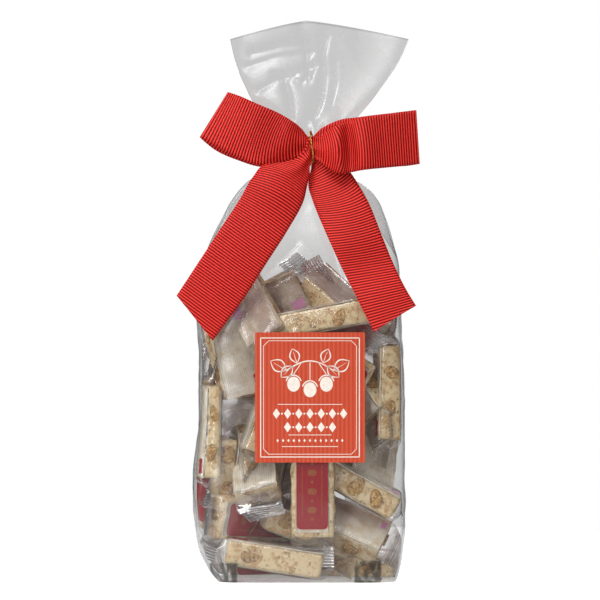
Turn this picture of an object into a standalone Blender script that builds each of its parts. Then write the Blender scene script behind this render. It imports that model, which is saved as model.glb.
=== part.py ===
"""A clear gift bag of wrapped nougat, tied at the neck with gold wire and a red grosgrain bow.

The bag stands on its flat block bottom. Front is -Y, up is +Z, metres.
Pieces: the filled film bag, the paper label on its front, the ribbon bow, and the gold wire
that binds the bow and holds it to the bag's neck.
"""

import math

import bmesh
import bpy
import numpy as np
from mathutils import Vector

MM = 0.001

# The frame's origin is the middle of the footprint, this far from the bag's own centre line.
SHIFT_X = 1.8
SHIFT_Y = 1.25

# Bag, in millimetres. Each level is: height, left edge, right edge, half depth, squareness.
# Squareness is the power of the superellipse: 2 is an ellipse, 7 nearly a rectangle.
BAG_LEVELS = (
    (0.0, -39.5, 44.2, 23.5, 7.0),
    (2.5, -41.8, 45.2, 24.6, 7.0),
    (10.0, -46.4, 46.9, 25.2, 6.0),
    (30.0, -50.2, 48.4, 25.4, 5.0),
    (46.0, -51.2, 48.3, 25.4, 5.0),
    (77.0, -48.6, 48.2, 25.2, 5.0),
    (104.0, -48.4, 47.6, 25.0, 5.0),
    (135.0, -49.0, 45.6, 24.2, 4.5),
    (150.0, -46.2, 45.4, 22.6, 4.0),
    (160.0, -42.6, 43.2, 20.2, 3.5),
    (169.0, -38.6, 40.6, 17.2, 3.0),
    (178.0, -34.2, 36.6, 13.8, 2.7),
    (187.5, -24.4, 27.4, 10.0, 2.4),
    (194.0, -10.4, 17.4, 6.9, 2.2),
    (198.5, -3.6, 11.8, 5.3, 2.0),
    (202.0, -2.3, 10.7, 4.9, 2.0),
    (206.0, -4.4, 12.6, 4.7, 2.0),
    (212.0, -12.4, 20.6, 4.6, 1.8),
    (220.0, -20.6, 29.2, 4.8, 1.6),
    (231.0, -26.6, 37.8, 5.4, 1.5),
    (244.0, -31.6, 46.6, 6.4, 1.5),
    (253.0, -33.8, 50.5, 7.4, 1.5),
)
BAG_RINGS = 46
BAG_SIDES = 44
NECK_Z = 202.0
MOUTH_Z = 253.0
MOUTH_CROWN = 8.6
CROWN_ROUNDNESS = 1.25
CROWN_PEAK = -0.15
CROWN_LATENESS = 4
PLEATS = 9
PLEAT_DEPTH = 0.16
PLEAT_REACH = 20.0
GUSSET_Z = 176.0
GUSSET_REACH = 30.0
GUSSET_DEPTH = 0.2
GUSSET_WIDTH = 0.22

# Lumps that the sweets press into the film's back: height, how they repeat round the bag and
# up it, and the heights between which they fade in and out.
LUMP_HEIGHT = 0.9
LUMPS_ROUND = 4
LUMP_SLANT = 9.0
LUMP_SPACING = 11.0
LUMPS_FROM = 12.0
LUMPS_TO = 168.0
LUMPS_FADE = 20.0

# Label, in millimetres: a flat card on the bag's front.
LABEL_WIDTH = 51.0
LABEL_HEIGHT = 60.5
LABEL_THICKNESS = 0.5
LABEL_CENTRE_X = 3.7
LABEL_CENTRE_Z = 86.6
LABEL_Y = -25.95
LABEL_CORNER = 0.4

# Ribbon, in millimetres: one strip that runs from the left tail over the knot, round the right
# loop, round the left loop and down the right tail.
# Each row across the strip is: its upper edge's x, y, z, its lower edge's x, y, z, and how far
# its middle stands proud to the front.
RIBBON_WIDTH = 26.0
RIBBON_THICKNESS = 0.8
RIBBON_STEP = 2.6
RIBBON_ACROSS = 8
PLY_STEP = 1.9
KNOT_TOP = (3.6, 207.0)
KNOT_BOTTOM = (4.4, 197.8)
KNOT_FRONT_Y = -13.0
RIBBON_PLEATS = 3
PLEAT_MOST = 0.7
PLEAT_STARTS = 0.1
PLEAT_FULL = 0.6
LEFT_TAIL = (
    (-58.1, -26.6, 133.9, -41.4, -27.4, 113.0, 0.4),
    (-47.5, -27.4, 150.1, -25.5, -27.6, 134.9, 0.6),
    (-38.0, -27.4, 164.6, -16.3, -27.6, 149.3, 0.8),
    (-28.8, -25.8, 178.6, -6.6, -26.4, 164.4, 1.4),
    (-22.6, -23.8, 189.0, 0.5, -23.6, 177.6, 2.4),
    (-17.4, -21.8, 194.4, 2.3, -20.6, 185.1, 3.0),
    (-8.1, -19.6, 197.4, 3.4, -18.2, 190.6, 2.2),
    (-1.9, -16.8, 200.8, 3.7, -16.2, 194.8, 1.0),
)
RIGHT_LOOP_FRONT = (
    (8.8, -16.8, 207.4, 9.0, -16.6, 195.4, 0.4),
    (12.3, -19.4, 210.4, 13.4, -19.4, 192.0, 2.0),
    (18.0, -21.4, 213.6, 20.0, -21.8, 190.4, 1.8),
    (26.0, -22.4, 215.8, 28.5, -23.0, 192.2, 1.4),
    (37.0, -21.4, 217.8, 39.0, -21.8, 193.2, 0.8),
    (48.5, -17.8, 219.4, 50.0, -18.0, 194.2, 0.2),
    (53.0, -15.8, 219.9, 54.6, -15.8, 194.8, 0.0),
)
RIGHT_LOOP_REAR = (
    (48.5, -14.0, 219.2, 49.6, -14.0, 194.0, -0.2),
    (37.0, -14.4, 218.0, 38.0, -14.4, 193.4, -0.4),
    (26.0, -15.4, 216.6, 26.0, -15.6, 192.2, -0.2),
    (17.0, -15.4, 215.2, 15.5, -15.6, 192.8, 0.0),
    (9.0, -14.2, 211.4, 8.2, -14.2, 195.8, 0.2),
)
LEFT_LOOP_FRONT = (
    (-0.4, -12.6, 211.4, 0.6, -12.4, 198.8, 0.0),
    (-4.6, -15.8, 214.8, -8.0, -16.2, 196.0, 1.0),
    (-10.6, -18.4, 218.4, -18.6, -18.8, 194.2, 1.4),
    (-20.5, -19.4, 222.7, -30.0, -19.8, 198.0, 1.0),
    (-30.2, -17.8, 226.9, -41.0, -18.0, 203.6, 0.4),
    (-34.4, -15.4, 228.1, -47.4, -15.4, 207.2, 0.0),
)
LEFT_LOOP_REAR = (
    (-30.5, -13.6, 225.6, -42.0, -13.8, 202.4, -0.2),
    (-20.5, -12.4, 221.0, -30.0, -12.8, 196.6, -0.4),
    (-10.5, -11.6, 216.2, -16.5, -12.0, 193.4, -0.4),
    (-3.0, -10.4, 211.6, -4.0, -10.6, 196.8, 0.0),
)
RIGHT_TAIL = (
    (9.4, -9.9, 204.8, 4.6, -9.9, 194.6, 0.0),
    (15.0, -11.3, 200.0, 3.6, -11.6, 189.8, 0.2),
    (20.5, -13.2, 193.6, 3.0, -14.6, 184.4, 0.5),
    (25.4, -16.0, 186.6, 4.8, -17.8, 178.4, 1.0),
    (30.3, -19.2, 178.0, 7.0, -21.0, 172.5, 1.2),
    (36.4, -22.8, 163.3, 13.0, -25.4, 158.6, 0.8),
    (42.0, -25.0, 149.6, 18.9, -27.0, 145.9, 0.4),
    (47.5, -25.6, 138.0, 25.2, -27.4, 133.4, 0.8),
    (52.1, -25.8, 130.0, 33.3, -27.6, 117.2, 0.4),
)

# Gold wire, in millimetres: from behind the neck, round to the front, over and under the bow's
# knot, and back round the neck to a short twisted end.
WIRE_DIAMETER = 0.9
WIRE_ROUTE = (
    (3.4, 6.6, 203.6),
    (9.2, 5.6, 203.4),
    (12.9, 0.6, 203.2),
    (10.4, -4.8, 203.6),
    (7.0, -6.7, 204.8),
    (5.0, -7.0, 207.4),
    (4.2, -8.6, 209.4),
    (3.9, -12.0, 209.8),
    (3.8, -15.2, 208.0),
    (4.3, -15.5, 204.0),
    (4.9, -15.5, 200.2),
    (5.1, -14.7, 196.9),
    (4.8, -12.8, 195.6),
    (4.1, -11.2, 195.2),
    (3.5, -9.4, 195.2),
    (3.1, -7.9, 196.6),
    (2.0, -6.8, 199.4),
    (-2.0, -5.6, 201.2),
    (-4.4, 0.6, 201.6),
    (-0.8, 5.6, 201.8),
    (3.4, 6.9, 202.0),
)
WIRE_POINTS = 64
TWIST_TURNS = 2.0
TWIST_RADIUS = 0.75
TWIST_LENGTH = 9.0
TWIST_REACH = 4.2
TWIST_ASIDE = 3.0
TWIST_CLEARANCE = 2.2
TWIST_DROP = 0.6
TWIST_POINTS = 18


def smooth_line(points, count):
    """Reads count rows at even steps along a smooth line through rows of numbers."""
    rows = np.array(points, float)
    gaps = np.linalg.norm(np.diff(rows[:, :3], axis=0), axis=1)
    knots = np.concatenate([[0.0], np.cumsum(gaps)])
    slopes = np.gradient(rows, knots, axis=0)
    wanted = np.linspace(0.0, knots[-1], count)
    index = np.clip(np.searchsorted(knots, wanted) - 1, 0, len(gaps) - 1)
    span = gaps[index][:, None]
    t = ((wanted - knots[index]) / gaps[index])[:, None]
    return (
        rows[index] * (1 + 2 * t) * (1 - t) ** 2
        + slopes[index] * span * t * (1 - t) ** 2
        + rows[index + 1] * t * t * (3 - 2 * t)
        + slopes[index + 1] * span * t * t * (t - 1)
    )


def smooth_step(value):
    """Eases from 0 to 1."""
    value = np.clip(value, 0.0, 1.0)
    return value * value * (3 - 2 * value)


def clear_scene():
    """Empties the file that the script starts in."""
    for found in list(bpy.data.objects):
        bpy.data.objects.remove(found)


def finish_colour(name, colour, roughness, metallic=0.0, alpha=1.0):
    """Makes a Principled material."""
    material = bpy.data.materials.new(name)
    material.use_nodes = True
    shader = material.node_tree.nodes["Principled BSDF"]
    shader.inputs["Base Color"].default_value = (*colour, 1.0)
    shader.inputs["Roughness"].default_value = roughness
    shader.inputs["Metallic"].default_value = metallic
    shader.inputs["Alpha"].default_value = alpha
    return material


def add_object(name, mesh, material, collection, rig):
    """Links a mesh as a named piece under the rig, whose place is the frame's origin."""
    piece = bpy.data.objects.new(name, mesh)
    collection.objects.link(piece)
    piece.parent = rig
    mesh.materials.append(material)
    return piece


def bag_ring(height, left, right, half_depth, power):
    """Gives one level of the bag as a closed ring of points, in millimetres."""
    centre = (left + right) / 2
    half_width = (right - left) / 2
    turn = np.linspace(0.0, 2 * math.pi, BAG_SIDES, endpoint=False)
    across = np.sign(np.cos(turn)) * np.abs(np.cos(turn)) ** (2 / power)
    deep = np.sign(np.sin(turn)) * np.abs(np.sin(turn)) ** (2 / power)
    near_neck = 1 - smooth_step(abs(height - NECK_Z) / PLEAT_REACH)
    rise = np.clip((height - NECK_Z) / (MOUTH_Z - NECK_Z), 0.0, 1.0)
    folds = PLEAT_DEPTH * near_neck * np.cos(PLEATS * turn)
    tucked = GUSSET_DEPTH * (1 - smooth_step(abs(height - GUSSET_Z) / GUSSET_REACH))
    tuck = tucked * np.exp(-((deep / GUSSET_WIDTH) ** 2))
    filled = smooth_step(height / LUMPS_FROM) * smooth_step((LUMPS_TO - height) / LUMPS_FADE)
    behind = smooth_step(0.5 + 1.5 * deep)
    wave = np.cos(LUMPS_ROUND * turn + height / LUMP_SLANT) * math.cos(height / LUMP_SPACING)
    lumps = LUMP_HEIGHT * filled * behind * wave
    x = centre + half_width * across * (1 + folds - tuck)
    y = half_depth * deep * (1 + folds) + lumps * deep
    from_peak = np.abs(np.interp(across, (-1.0, CROWN_PEAK, 1.0), (-1.0, 0.0, 1.0)))
    z = height + MOUTH_CROWN * rise**CROWN_LATENESS * (1 - from_peak**CROWN_ROUNDNESS)
    return np.stack([x, y, z], axis=1)


def build_bag(material, collection, rig):
    """Lofts the filled bag from its base, past the tied neck, to the flared mouth."""
    levels = np.array(BAG_LEVELS)
    heights = levels[:, 0]
    spread = np.linspace(0.0, 1.0, BAG_RINGS)
    along = np.interp(spread, np.linspace(0.0, 1.0, len(heights)), heights)
    slopes = np.gradient(levels[:, 1:], heights, axis=0)
    mesh = bmesh.new()
    rings = []
    for height in along:
        low = min(np.searchsorted(heights, height, side="right") - 1, len(heights) - 2)
        span = heights[low + 1] - heights[low]
        t = (height - heights[low]) / span
        row = (
            levels[low, 1:] * (1 + 2 * t) * (1 - t) ** 2
            + slopes[low] * span * t * (1 - t) ** 2
            + levels[low + 1, 1:] * t * t * (3 - 2 * t)
            + slopes[low + 1] * span * t * t * (t - 1)
        )
        ring = bag_ring(height, *row)
        rings.append([mesh.verts.new(Vector(point) * MM) for point in ring])
    for lower, upper in zip(rings, rings[1:]):
        for side in range(BAG_SIDES):
            after = (side + 1) % BAG_SIDES
            mesh.faces.new((lower[side], lower[after], upper[after], upper[side]))
    mesh.faces.new(list(reversed(rings[0])))
    half = BAG_SIDES // 2
    top = rings[-1]
    for side in range(half):
        low, high = top[side], top[side + 1]
        far_high = top[(BAG_SIDES - side - 1) % BAG_SIDES]
        far_low = top[(BAG_SIDES - side) % BAG_SIDES]
        corners = list(dict.fromkeys((low, high, far_high, far_low)))
        mesh.faces.new(corners)
    bmesh.ops.recalc_face_normals(mesh, faces=mesh.faces)
    data = bpy.data.meshes.new("bag")
    mesh.to_mesh(data)
    mesh.free()
    data.shade_smooth()
    return add_object("bag", data, material, collection, rig)


def build_label(material, collection, rig):
    """Cuts the card and stands it against the bag's front."""
    bpy.ops.mesh.primitive_cube_add(size=1.0)
    label = bpy.context.object
    label.name = "label"
    label.scale = (LABEL_WIDTH * MM, LABEL_THICKNESS * MM, LABEL_HEIGHT * MM)
    bpy.ops.object.transform_apply(location=False, rotation=False, scale=True)
    label.location = (LABEL_CENTRE_X * MM, LABEL_Y * MM, LABEL_CENTRE_Z * MM)
    for holder in list(label.users_collection):
        holder.objects.unlink(label)
    collection.objects.link(label)
    label.parent = rig
    label.data.materials.append(material)
    corners = bmesh.new()
    corners.from_mesh(label.data)
    upright = [e for e in corners.edges if abs(e.verts[0].co.y - e.verts[1].co.y) > 0.1 * MM]
    bmesh.ops.bevel(
        corners, geom=upright, offset=LABEL_CORNER * MM, segments=2, affect="EDGES", profile=0.5
    )
    corners.to_mesh(label.data)
    corners.free()
    return label


def knot_row(ply):
    """Gives the row where a ply passes under the wire; ply 0 is the front one."""
    depth = KNOT_FRONT_Y + ply * PLY_STEP
    return (KNOT_TOP[0], depth, KNOT_TOP[1], KNOT_BOTTOM[0], depth, KNOT_BOTTOM[1], 0.0)


def ribbon_rows():
    """Reads the strip's rows at even steps along its middle line."""
    stations = (
        *LEFT_TAIL,
        knot_row(0),
        *RIGHT_LOOP_FRONT,
        *RIGHT_LOOP_REAR,
        knot_row(1),
        *LEFT_LOOP_FRONT,
        *LEFT_LOOP_REAR,
        knot_row(2),
        *RIGHT_TAIL,
    )
    table = np.array(stations, float)
    middle = (table[:, :3] + table[:, 3:6]) / 2
    gaps = np.linalg.norm(np.diff(middle, axis=0), axis=1)
    by_middle = np.hstack([middle, table])
    return smooth_line(by_middle, int(gaps.sum() / RIBBON_STEP) + 1)[:, 3:]


def build_ribbon(material, collection, rig):
    """Sweeps the strip, pleats it where it is narrower than it is wide, and thickens it."""
    share = np.linspace(0.0, 1.0, RIBBON_ACROSS + 1)
    pleating = np.cos(RIBBON_PLEATS * math.pi * (share - 0.5))
    crowning = 4 * share * (1 - share)
    mesh = bmesh.new()
    grid = []
    for row in ribbon_rows():
        upper, lower, crown = row[:3], row[3:6], row[6]
        spare = 1 - np.linalg.norm(upper - lower) / RIBBON_WIDTH
        pleat = PLEAT_MOST * smooth_step((spare - PLEAT_STARTS) / (PLEAT_FULL - PLEAT_STARTS))
        line = []
        for step, swing, swell in zip(share, pleating, crowning):
            place = lower + (upper - lower) * step
            place[1] -= crown * swell + pleat * swing
            line.append(mesh.verts.new(Vector(place) * MM))
        grid.append(line)
    for near, far in zip(grid, grid[1:]):
        for side in range(RIBBON_ACROSS):
            mesh.faces.new((near[side], far[side], far[side + 1], near[side + 1]))
    data = bpy.data.meshes.new("ribbon")
    mesh.to_mesh(data)
    mesh.free()
    data.shade_smooth()
    ribbon = add_object("ribbon", data, material, collection, rig)
    cloth = ribbon.modifiers.new("thickness", "SOLIDIFY")
    cloth.thickness = RIBBON_THICKNESS * MM
    cloth.offset = 0.0
    return ribbon


def twisted_end(start):
    """Winds the wire's last stretch down behind the neck."""
    points = []
    for step in range(1, TWIST_POINTS + 1):
        share = step / TWIST_POINTS
        turn = 2 * math.pi * TWIST_TURNS * share
        reach = TWIST_RADIUS * math.sqrt(abs(math.sin(math.pi * share)))
        points.append(
            (
                start[0] + reach * math.sin(turn) + TWIST_ASIDE * share,
                start[1] + TWIST_CLEARANCE + TWIST_REACH * share + reach * (math.cos(turn) - 1),
                start[2] - TWIST_DROP - TWIST_LENGTH * share,
            )
        )
    return points


def build_wire(material, collection, rig):
    """Bends the gold wire along its route as a tube with closed ends."""
    route = smooth_line(WIRE_ROUTE, WIRE_POINTS).tolist()
    route += twisted_end(WIRE_ROUTE[-1])
    data = bpy.data.curves.new("wire", "CURVE")
    data.dimensions = "3D"
    data.bevel_depth = WIRE_DIAMETER / 2 * MM
    data.bevel_resolution = 2
    data.use_fill_caps = True
    spline = data.splines.new("POLY")
    spline.points.add(len(route) - 1)
    for point, place in zip(spline.points, route):
        point.co = (*(value * MM for value in place), 1.0)
    wire = bpy.data.objects.new("wire_tie", data)
    collection.objects.link(wire)
    wire.parent = rig
    data.materials.append(material)
    return wire


def main():
    """Builds the pieces in their own collection, under one empty."""
    clear_scene()
    collection = bpy.data.collections.new("nougat_gift_bag")
    bpy.context.scene.collection.children.link(collection)
    rig = bpy.data.objects.new("rig", None)
    collection.objects.link(rig)
    rig.location = (SHIFT_X * MM, SHIFT_Y * MM, 0.0)
    build_bag(finish_colour("clear_film", (0.82, 0.8, 0.76), 0.12, alpha=0.45), collection, rig)
    build_label(finish_colour("label_card", (0.70, 0.09, 0.035), 0.5), collection, rig)
    build_ribbon(finish_colour("red_grosgrain", (0.56, 0.012, 0.014), 0.6), collection, rig)
    build_wire(finish_colour("gold_wire", (0.83, 0.62, 0.25), 0.3, metallic=1.0), collection, rig)


main()
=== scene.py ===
"""Looks of a clear gift bag of wrapped hazelnut nougat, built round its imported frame.

The bag stands on its block bottom. Front is -Y and up is +Z. Blender works in metres, and the
tables of sizes and places here are in millimetres, from the bag's own centre line, until
Builder.piece() moves them into the frame.
"""

import logging
import math
from dataclasses import dataclass, field
from enum import Enum
from typing import Any, Sequence

import bmesh
import bpy
import numpy as np
from mathutils import Matrix, Vector, noise


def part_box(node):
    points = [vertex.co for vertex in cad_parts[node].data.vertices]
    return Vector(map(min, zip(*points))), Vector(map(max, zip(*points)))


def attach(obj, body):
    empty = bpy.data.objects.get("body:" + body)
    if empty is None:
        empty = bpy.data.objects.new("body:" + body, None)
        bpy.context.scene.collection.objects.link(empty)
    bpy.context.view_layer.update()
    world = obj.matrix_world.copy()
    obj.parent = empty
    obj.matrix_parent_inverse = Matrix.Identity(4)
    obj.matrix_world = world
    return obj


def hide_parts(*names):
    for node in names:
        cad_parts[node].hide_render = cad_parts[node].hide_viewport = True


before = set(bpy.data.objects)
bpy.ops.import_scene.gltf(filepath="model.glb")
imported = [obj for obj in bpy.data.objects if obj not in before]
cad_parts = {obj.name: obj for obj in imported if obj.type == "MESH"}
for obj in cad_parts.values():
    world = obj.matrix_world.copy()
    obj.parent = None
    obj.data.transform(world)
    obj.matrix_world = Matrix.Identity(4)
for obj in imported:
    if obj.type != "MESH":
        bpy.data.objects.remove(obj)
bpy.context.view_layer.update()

LOG = logging.getLogger("gift_bag")
BODY = "root"
MM = 0.001
CENTRE = np.array([1.8, 1.25, 0.0])
"""From the bag's own centre line to the frame's origin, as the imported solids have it."""

Colour = tuple[float, float, float]
Place = tuple[float, float, float]
Pair = tuple[float, float]
Shape = tuple[np.ndarray, Any]
"""Points, and the point numbers of each face."""
Socket = bpy.types.NodeSocket
Object = bpy.types.Object
Material = bpy.types.Material


def srgb(red: int, green: int, blue: int) -> Colour:
    """A screen colour of 0 to 255 as the linear colour that shaders take."""
    shares = [value / 255 for value in (red, green, blue)]
    return tuple(s / 12.92 if s <= 0.04045 else ((s + 0.055) / 1.055) ** 2.4 for s in shares)


def smooth_step(value: Any) -> Any:
    """0 below 0, 1 above 1, and an even S curve between."""
    share = np.clip(value, 0.0, 1.0)
    return share * share * (3.0 - 2.0 * share)


def hermite(at: np.ndarray, knots: np.ndarray, values: np.ndarray) -> np.ndarray:
    """A smooth curve through rows of values.

    Args:
        at: Where to read the curve.
        knots: Rising places of the rows.
        values: One row of numbers for each knot.

    Returns:
        One row for each place in at.
    """
    slopes = np.gradient(values, knots, axis=0)
    index = np.clip(np.searchsorted(knots, at, side="right") - 1, 0, len(knots) - 2)
    span = (knots[index + 1] - knots[index])[:, None]
    t = ((at - knots[index]) / span[:, 0])[:, None]
    return (
        (2 * t**3 - 3 * t**2 + 1) * values[index]
        + (t**3 - 2 * t**2 + t) * span * slopes[index]
        + (3 * t**2 - 2 * t**3) * values[index + 1]
        + (t**3 - t**2) * span * slopes[index + 1]
    )


def circle(count: int) -> np.ndarray:
    """Even steps of angle round a full turn, from 0."""
    return np.linspace(0, math.tau, count, endpoint=False)


def unit(rows: np.ndarray) -> np.ndarray:
    """Each row at length 1."""
    return rows / np.maximum(np.linalg.norm(rows, axis=-1, keepdims=True), 1e-9)


def arc(points: np.ndarray) -> np.ndarray:
    """The way along a line of points, from 0 at its first."""
    return np.concatenate([[0], np.cumsum(np.linalg.norm(np.diff(points, axis=0), axis=1))])


def squared(angle: np.ndarray, power: float) -> tuple[np.ndarray, np.ndarray]:
    """A circle of radius 1, squarer with a higher power: the places across and up at each angle."""
    reach = (np.abs(np.cos(angle)) ** power + np.abs(np.sin(angle)) ** power) ** (-1 / power)
    return reach * np.cos(angle), reach * np.sin(angle)


def crumple(points: np.ndarray, wavelength: float, folds: int, seed: int) -> np.ndarray:
    """Height of crushed film: flat facets that meet in sharp straight creases.

    Args:
        points: Places, one row each.
        wavelength: Distance between creases, in the points' own units.
        folds: Number of crossing sets of creases.
        seed: Seed of their directions.

    Returns:
        A height for each point, about -0.5 to 0.5.
    """
    rng = np.random.default_rng(seed)
    total = np.zeros(len(points))
    for _ in range(folds):
        across, along = rng.normal(size=(2, 3))
        across /= np.linalg.norm(across)
        along /= np.linalg.norm(along)
        drift = 0.3 * np.sin(points @ along * (math.pi / wavelength) + rng.uniform(0, math.tau))
        wave = (points @ across) / (wavelength * rng.uniform(0.7, 1.4)) + rng.uniform() + drift
        total += 4 * np.abs(wave % 1 - 0.5) - 1
    return total / (2 * folds) * 1.6


def grid_faces(rows: int, columns: int, wrap: bool) -> np.ndarray:
    """Four-sided faces of a grid of points laid row by row.

    Args:
        rows: Number of rows.
        columns: Points in a row.
        wrap: Whether a row's last point joins its first.

    Returns:
        One row of four point numbers for each face.
    """
    row = np.arange(rows - 1)[:, None] * columns
    first = np.arange(columns if wrap else columns - 1)
    second = (first + 1) % columns
    corners = [row + first, row + second, row + columns + second, row + columns + first]
    return np.stack(corners, axis=-1).reshape(-1, 4)


class Builder:
    """Turns arrays of points in millimetres into finished pieces of the part."""

    @staticmethod
    def piece(name: str, points: np.ndarray, faces: Sequence, placed: bool = True) -> Object:
        """Makes a smooth mesh object.

        Args:
            name: The object's name.
            points: Points in millimetres from the bag's centre line.
            faces: Point numbers of each face.
            placed: Whether the points are moved from the centre line to the frame's origin.

        Returns:
            The new object, at the origin, with its place in its mesh.
        """
        mesh = bpy.data.meshes.new(name)
        moved = (points + CENTRE if placed else points) * MM
        mesh.from_pydata(moved.tolist(), [], [tuple(face) for face in np.asarray(faces, object)])
        mesh.shade_smooth()
        return Builder.linked(name, mesh)

    @staticmethod
    def linked(name: str, data: Any) -> Object:
        """A new object in the scene that holds a mesh, a lamp or a lens."""
        made = bpy.data.objects.new(name, data)
        bpy.context.scene.collection.objects.link(made)
        return made

    @staticmethod
    def values(made: Object, name: str, values: np.ndarray) -> None:
        """Stores one number, or one vector, for each point of a mesh."""
        flat = np.asarray(values, np.float32)
        kind, field_name = ("FLOAT", "value") if flat.ndim == 1 else ("FLOAT_VECTOR", "vector")
        attribute = made.data.attributes.new(name, kind, "POINT")
        attribute.data.foreach_set(field_name, flat.ravel())

    @staticmethod
    def join(shapes: list[Shape]) -> Shape:
        """Points and faces of several shapes as one set."""
        points, faces, start = [], [], 0
        for shape_points, shape_faces in shapes:
            points.append(shape_points)
            faces += [tuple(int(i) + start for i in face) for face in shape_faces]
            start += len(shape_points)
        return np.concatenate(points), faces

    @staticmethod
    def fit(made: Object, slot: str, *nodes: str) -> None:
        """Rides a piece on the bag and hides the solids that it stands for."""
        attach(made, BODY)
        if nodes:
            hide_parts(*nodes)
        LOG.info("%s: %d faces", made.name, len(made.data.polygons))


class Nodes:
    """A node tree, with short calls that add nodes to it."""

    def __init__(self, tree: bpy.types.NodeTree) -> None:
        """Takes the tree that the nodes go into."""
        self.tree = tree

    def add(self, kind: str, inputs: dict | None = None, **settings: Any) -> bpy.types.Node:
        """Adds a node.

        Args:
            kind: The node's Blender type, where ShaderNode is left out at its start.
            inputs: A value or another node's socket for each input, by name or number.
            settings: The node's own properties.

        Returns:
            The node.
        """
        node = self.tree.nodes.new(kind if kind.startswith("GeometryNode") else "ShaderNode" + kind)
        for key, value in settings.items():
            setattr(node, key, value)
        for key, value in (inputs or {}).items():
            if isinstance(value, Socket):
                self.tree.links.new(value, node.inputs[key])
            elif isinstance(value, tuple) and len(value) == 3 and node.inputs[key].type == "RGBA":
                node.inputs[key].default_value = (*value, 1.0)
            else:
                node.inputs[key].default_value = value
        return node

    def math(self, operation: str, *operands: Any) -> Socket:
        """The result of a sum on one to three numbers or sockets."""
        return self.add("Math", dict(enumerate(operands)), operation=operation).outputs[0]


class Graph(Nodes):
    """A shader tree, with short calls for the nodes that the finishes use."""

    def __init__(self, name: str, blocks: Any = None) -> None:
        """Starts an empty tree in a new material of that name, or in a new one of other data blocks."""
        self.owner = (bpy.data.materials if blocks is None else blocks).new(name)
        self.owner.use_nodes = True
        super().__init__(self.owner.node_tree)
        self.tree.nodes.clear()

    def place(self) -> Socket:
        """The shaded point in the piece's own space, which is the frame's."""
        return self.add("TexCoord").outputs["Object"]

    def stored(self, name: str) -> bpy.types.Node:
        """The node that reads a value stored on the mesh."""
        return self.add("Attribute", attribute_name=name)

    def noise(self, scale: float, detail: float = 3.0, rough: float = 0.5) -> Socket:
        """Smooth noise of 0 to 1, scale being lumps to a metre."""
        inputs = {"Vector": self.place(), "Scale": scale, "Detail": detail, "Roughness": rough}
        return self.add("TexNoise", inputs).outputs[0]

    def mix(self, share: Any, first: Any, second: Any) -> Socket:
        """Two colours blended by a share of 0 to 1."""
        return self.add("Mix", {0: share, 6: first, 7: second}, data_type="RGBA").outputs[2]

    def ramp(self, value: Any, low: float, high: float) -> Socket:
        """0 where the value is low, 1 where it is high, smooth between."""
        inputs = {0: value, 1: low, 2: high}
        return self.add("MapRange", inputs, interpolation_type="SMOOTHSTEP").outputs[0]

    def bump(self, height: Any, distance: float, strength: float = 1.0, over: Any = None) -> Socket:
        """The normal of a relief that is distance metres deep."""
        inputs = {"Height": height, "Distance": distance, "Strength": strength}
        if over is not None:
            inputs["Normal"] = over
        return self.add("Bump", inputs).outputs[0]

    def finish(self, surface: bpy.types.Node) -> Material:
        """Connects the surface shader and returns the material."""
        self.add("OutputMaterial", {"Surface": surface.outputs[0]})
        return self.owner

    def principled(self, colour: Any, rough: Any, normal: Any = None, more: dict | None = None) -> Material:
        """The material with the plain surface shader, set to those inputs and more."""
        inputs = {"Base Color": colour, "Roughness": rough, **(more or {})}
        if normal is not None:
            inputs["Normal"] = normal
        return self.finish(self.add("BsdfPrincipled", inputs))


@dataclass(frozen=True)
class ClearFilm:
    """Clear film: it tints what is behind it, and gives back sharp streaks of light."""

    name: str
    clear: Colour
    dense: Colour
    face_on: float = 0.07
    grazing: float = 0.75
    folded: float = 0.08
    haze: float = 0.15
    haze_lumps: float = 60.0
    smoothest: float = 0.2
    lumps: float = 70.0
    """Dents of the relief to a metre."""
    depth: float = 0.00003

    def material(self) -> Material:
        """Builds the film; the stored value layers blends its clear and its dense tint."""
        graph = Graph(self.name)
        layers = graph.stored("layers").outputs["Fac"]
        tint = graph.mix(graph.math("MINIMUM", layers, 1.0), self.clear, self.dense)
        normal = graph.bump(graph.noise(self.lumps, 3.0, 0.55), self.depth)
        facing = graph.add("LayerWeight", {"Blend": 0.5, "Normal": normal}).outputs["Facing"]
        slant = graph.math("POWER", facing, 4.0)
        folded = graph.math("MULTIPLY_ADD", layers, self.folded, self.face_on)
        share = graph.math("MULTIPLY_ADD", slant, self.grazing, folded)
        rough = graph.math("MULTIPLY_ADD", graph.noise(self.haze_lumps), self.haze, self.smoothest)
        gloss_inputs = {"Color": (1.0, 1.0, 1.0), "Roughness": rough, "Normal": normal}
        gloss = graph.add("BsdfAnisotropic", gloss_inputs)
        through = graph.add("BsdfTransparent", {"Color": tint})
        mixed = {0: share, 1: through.outputs[0], 2: gloss.outputs[0]}
        return graph.finish(graph.add("MixShader", mixed))


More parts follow.
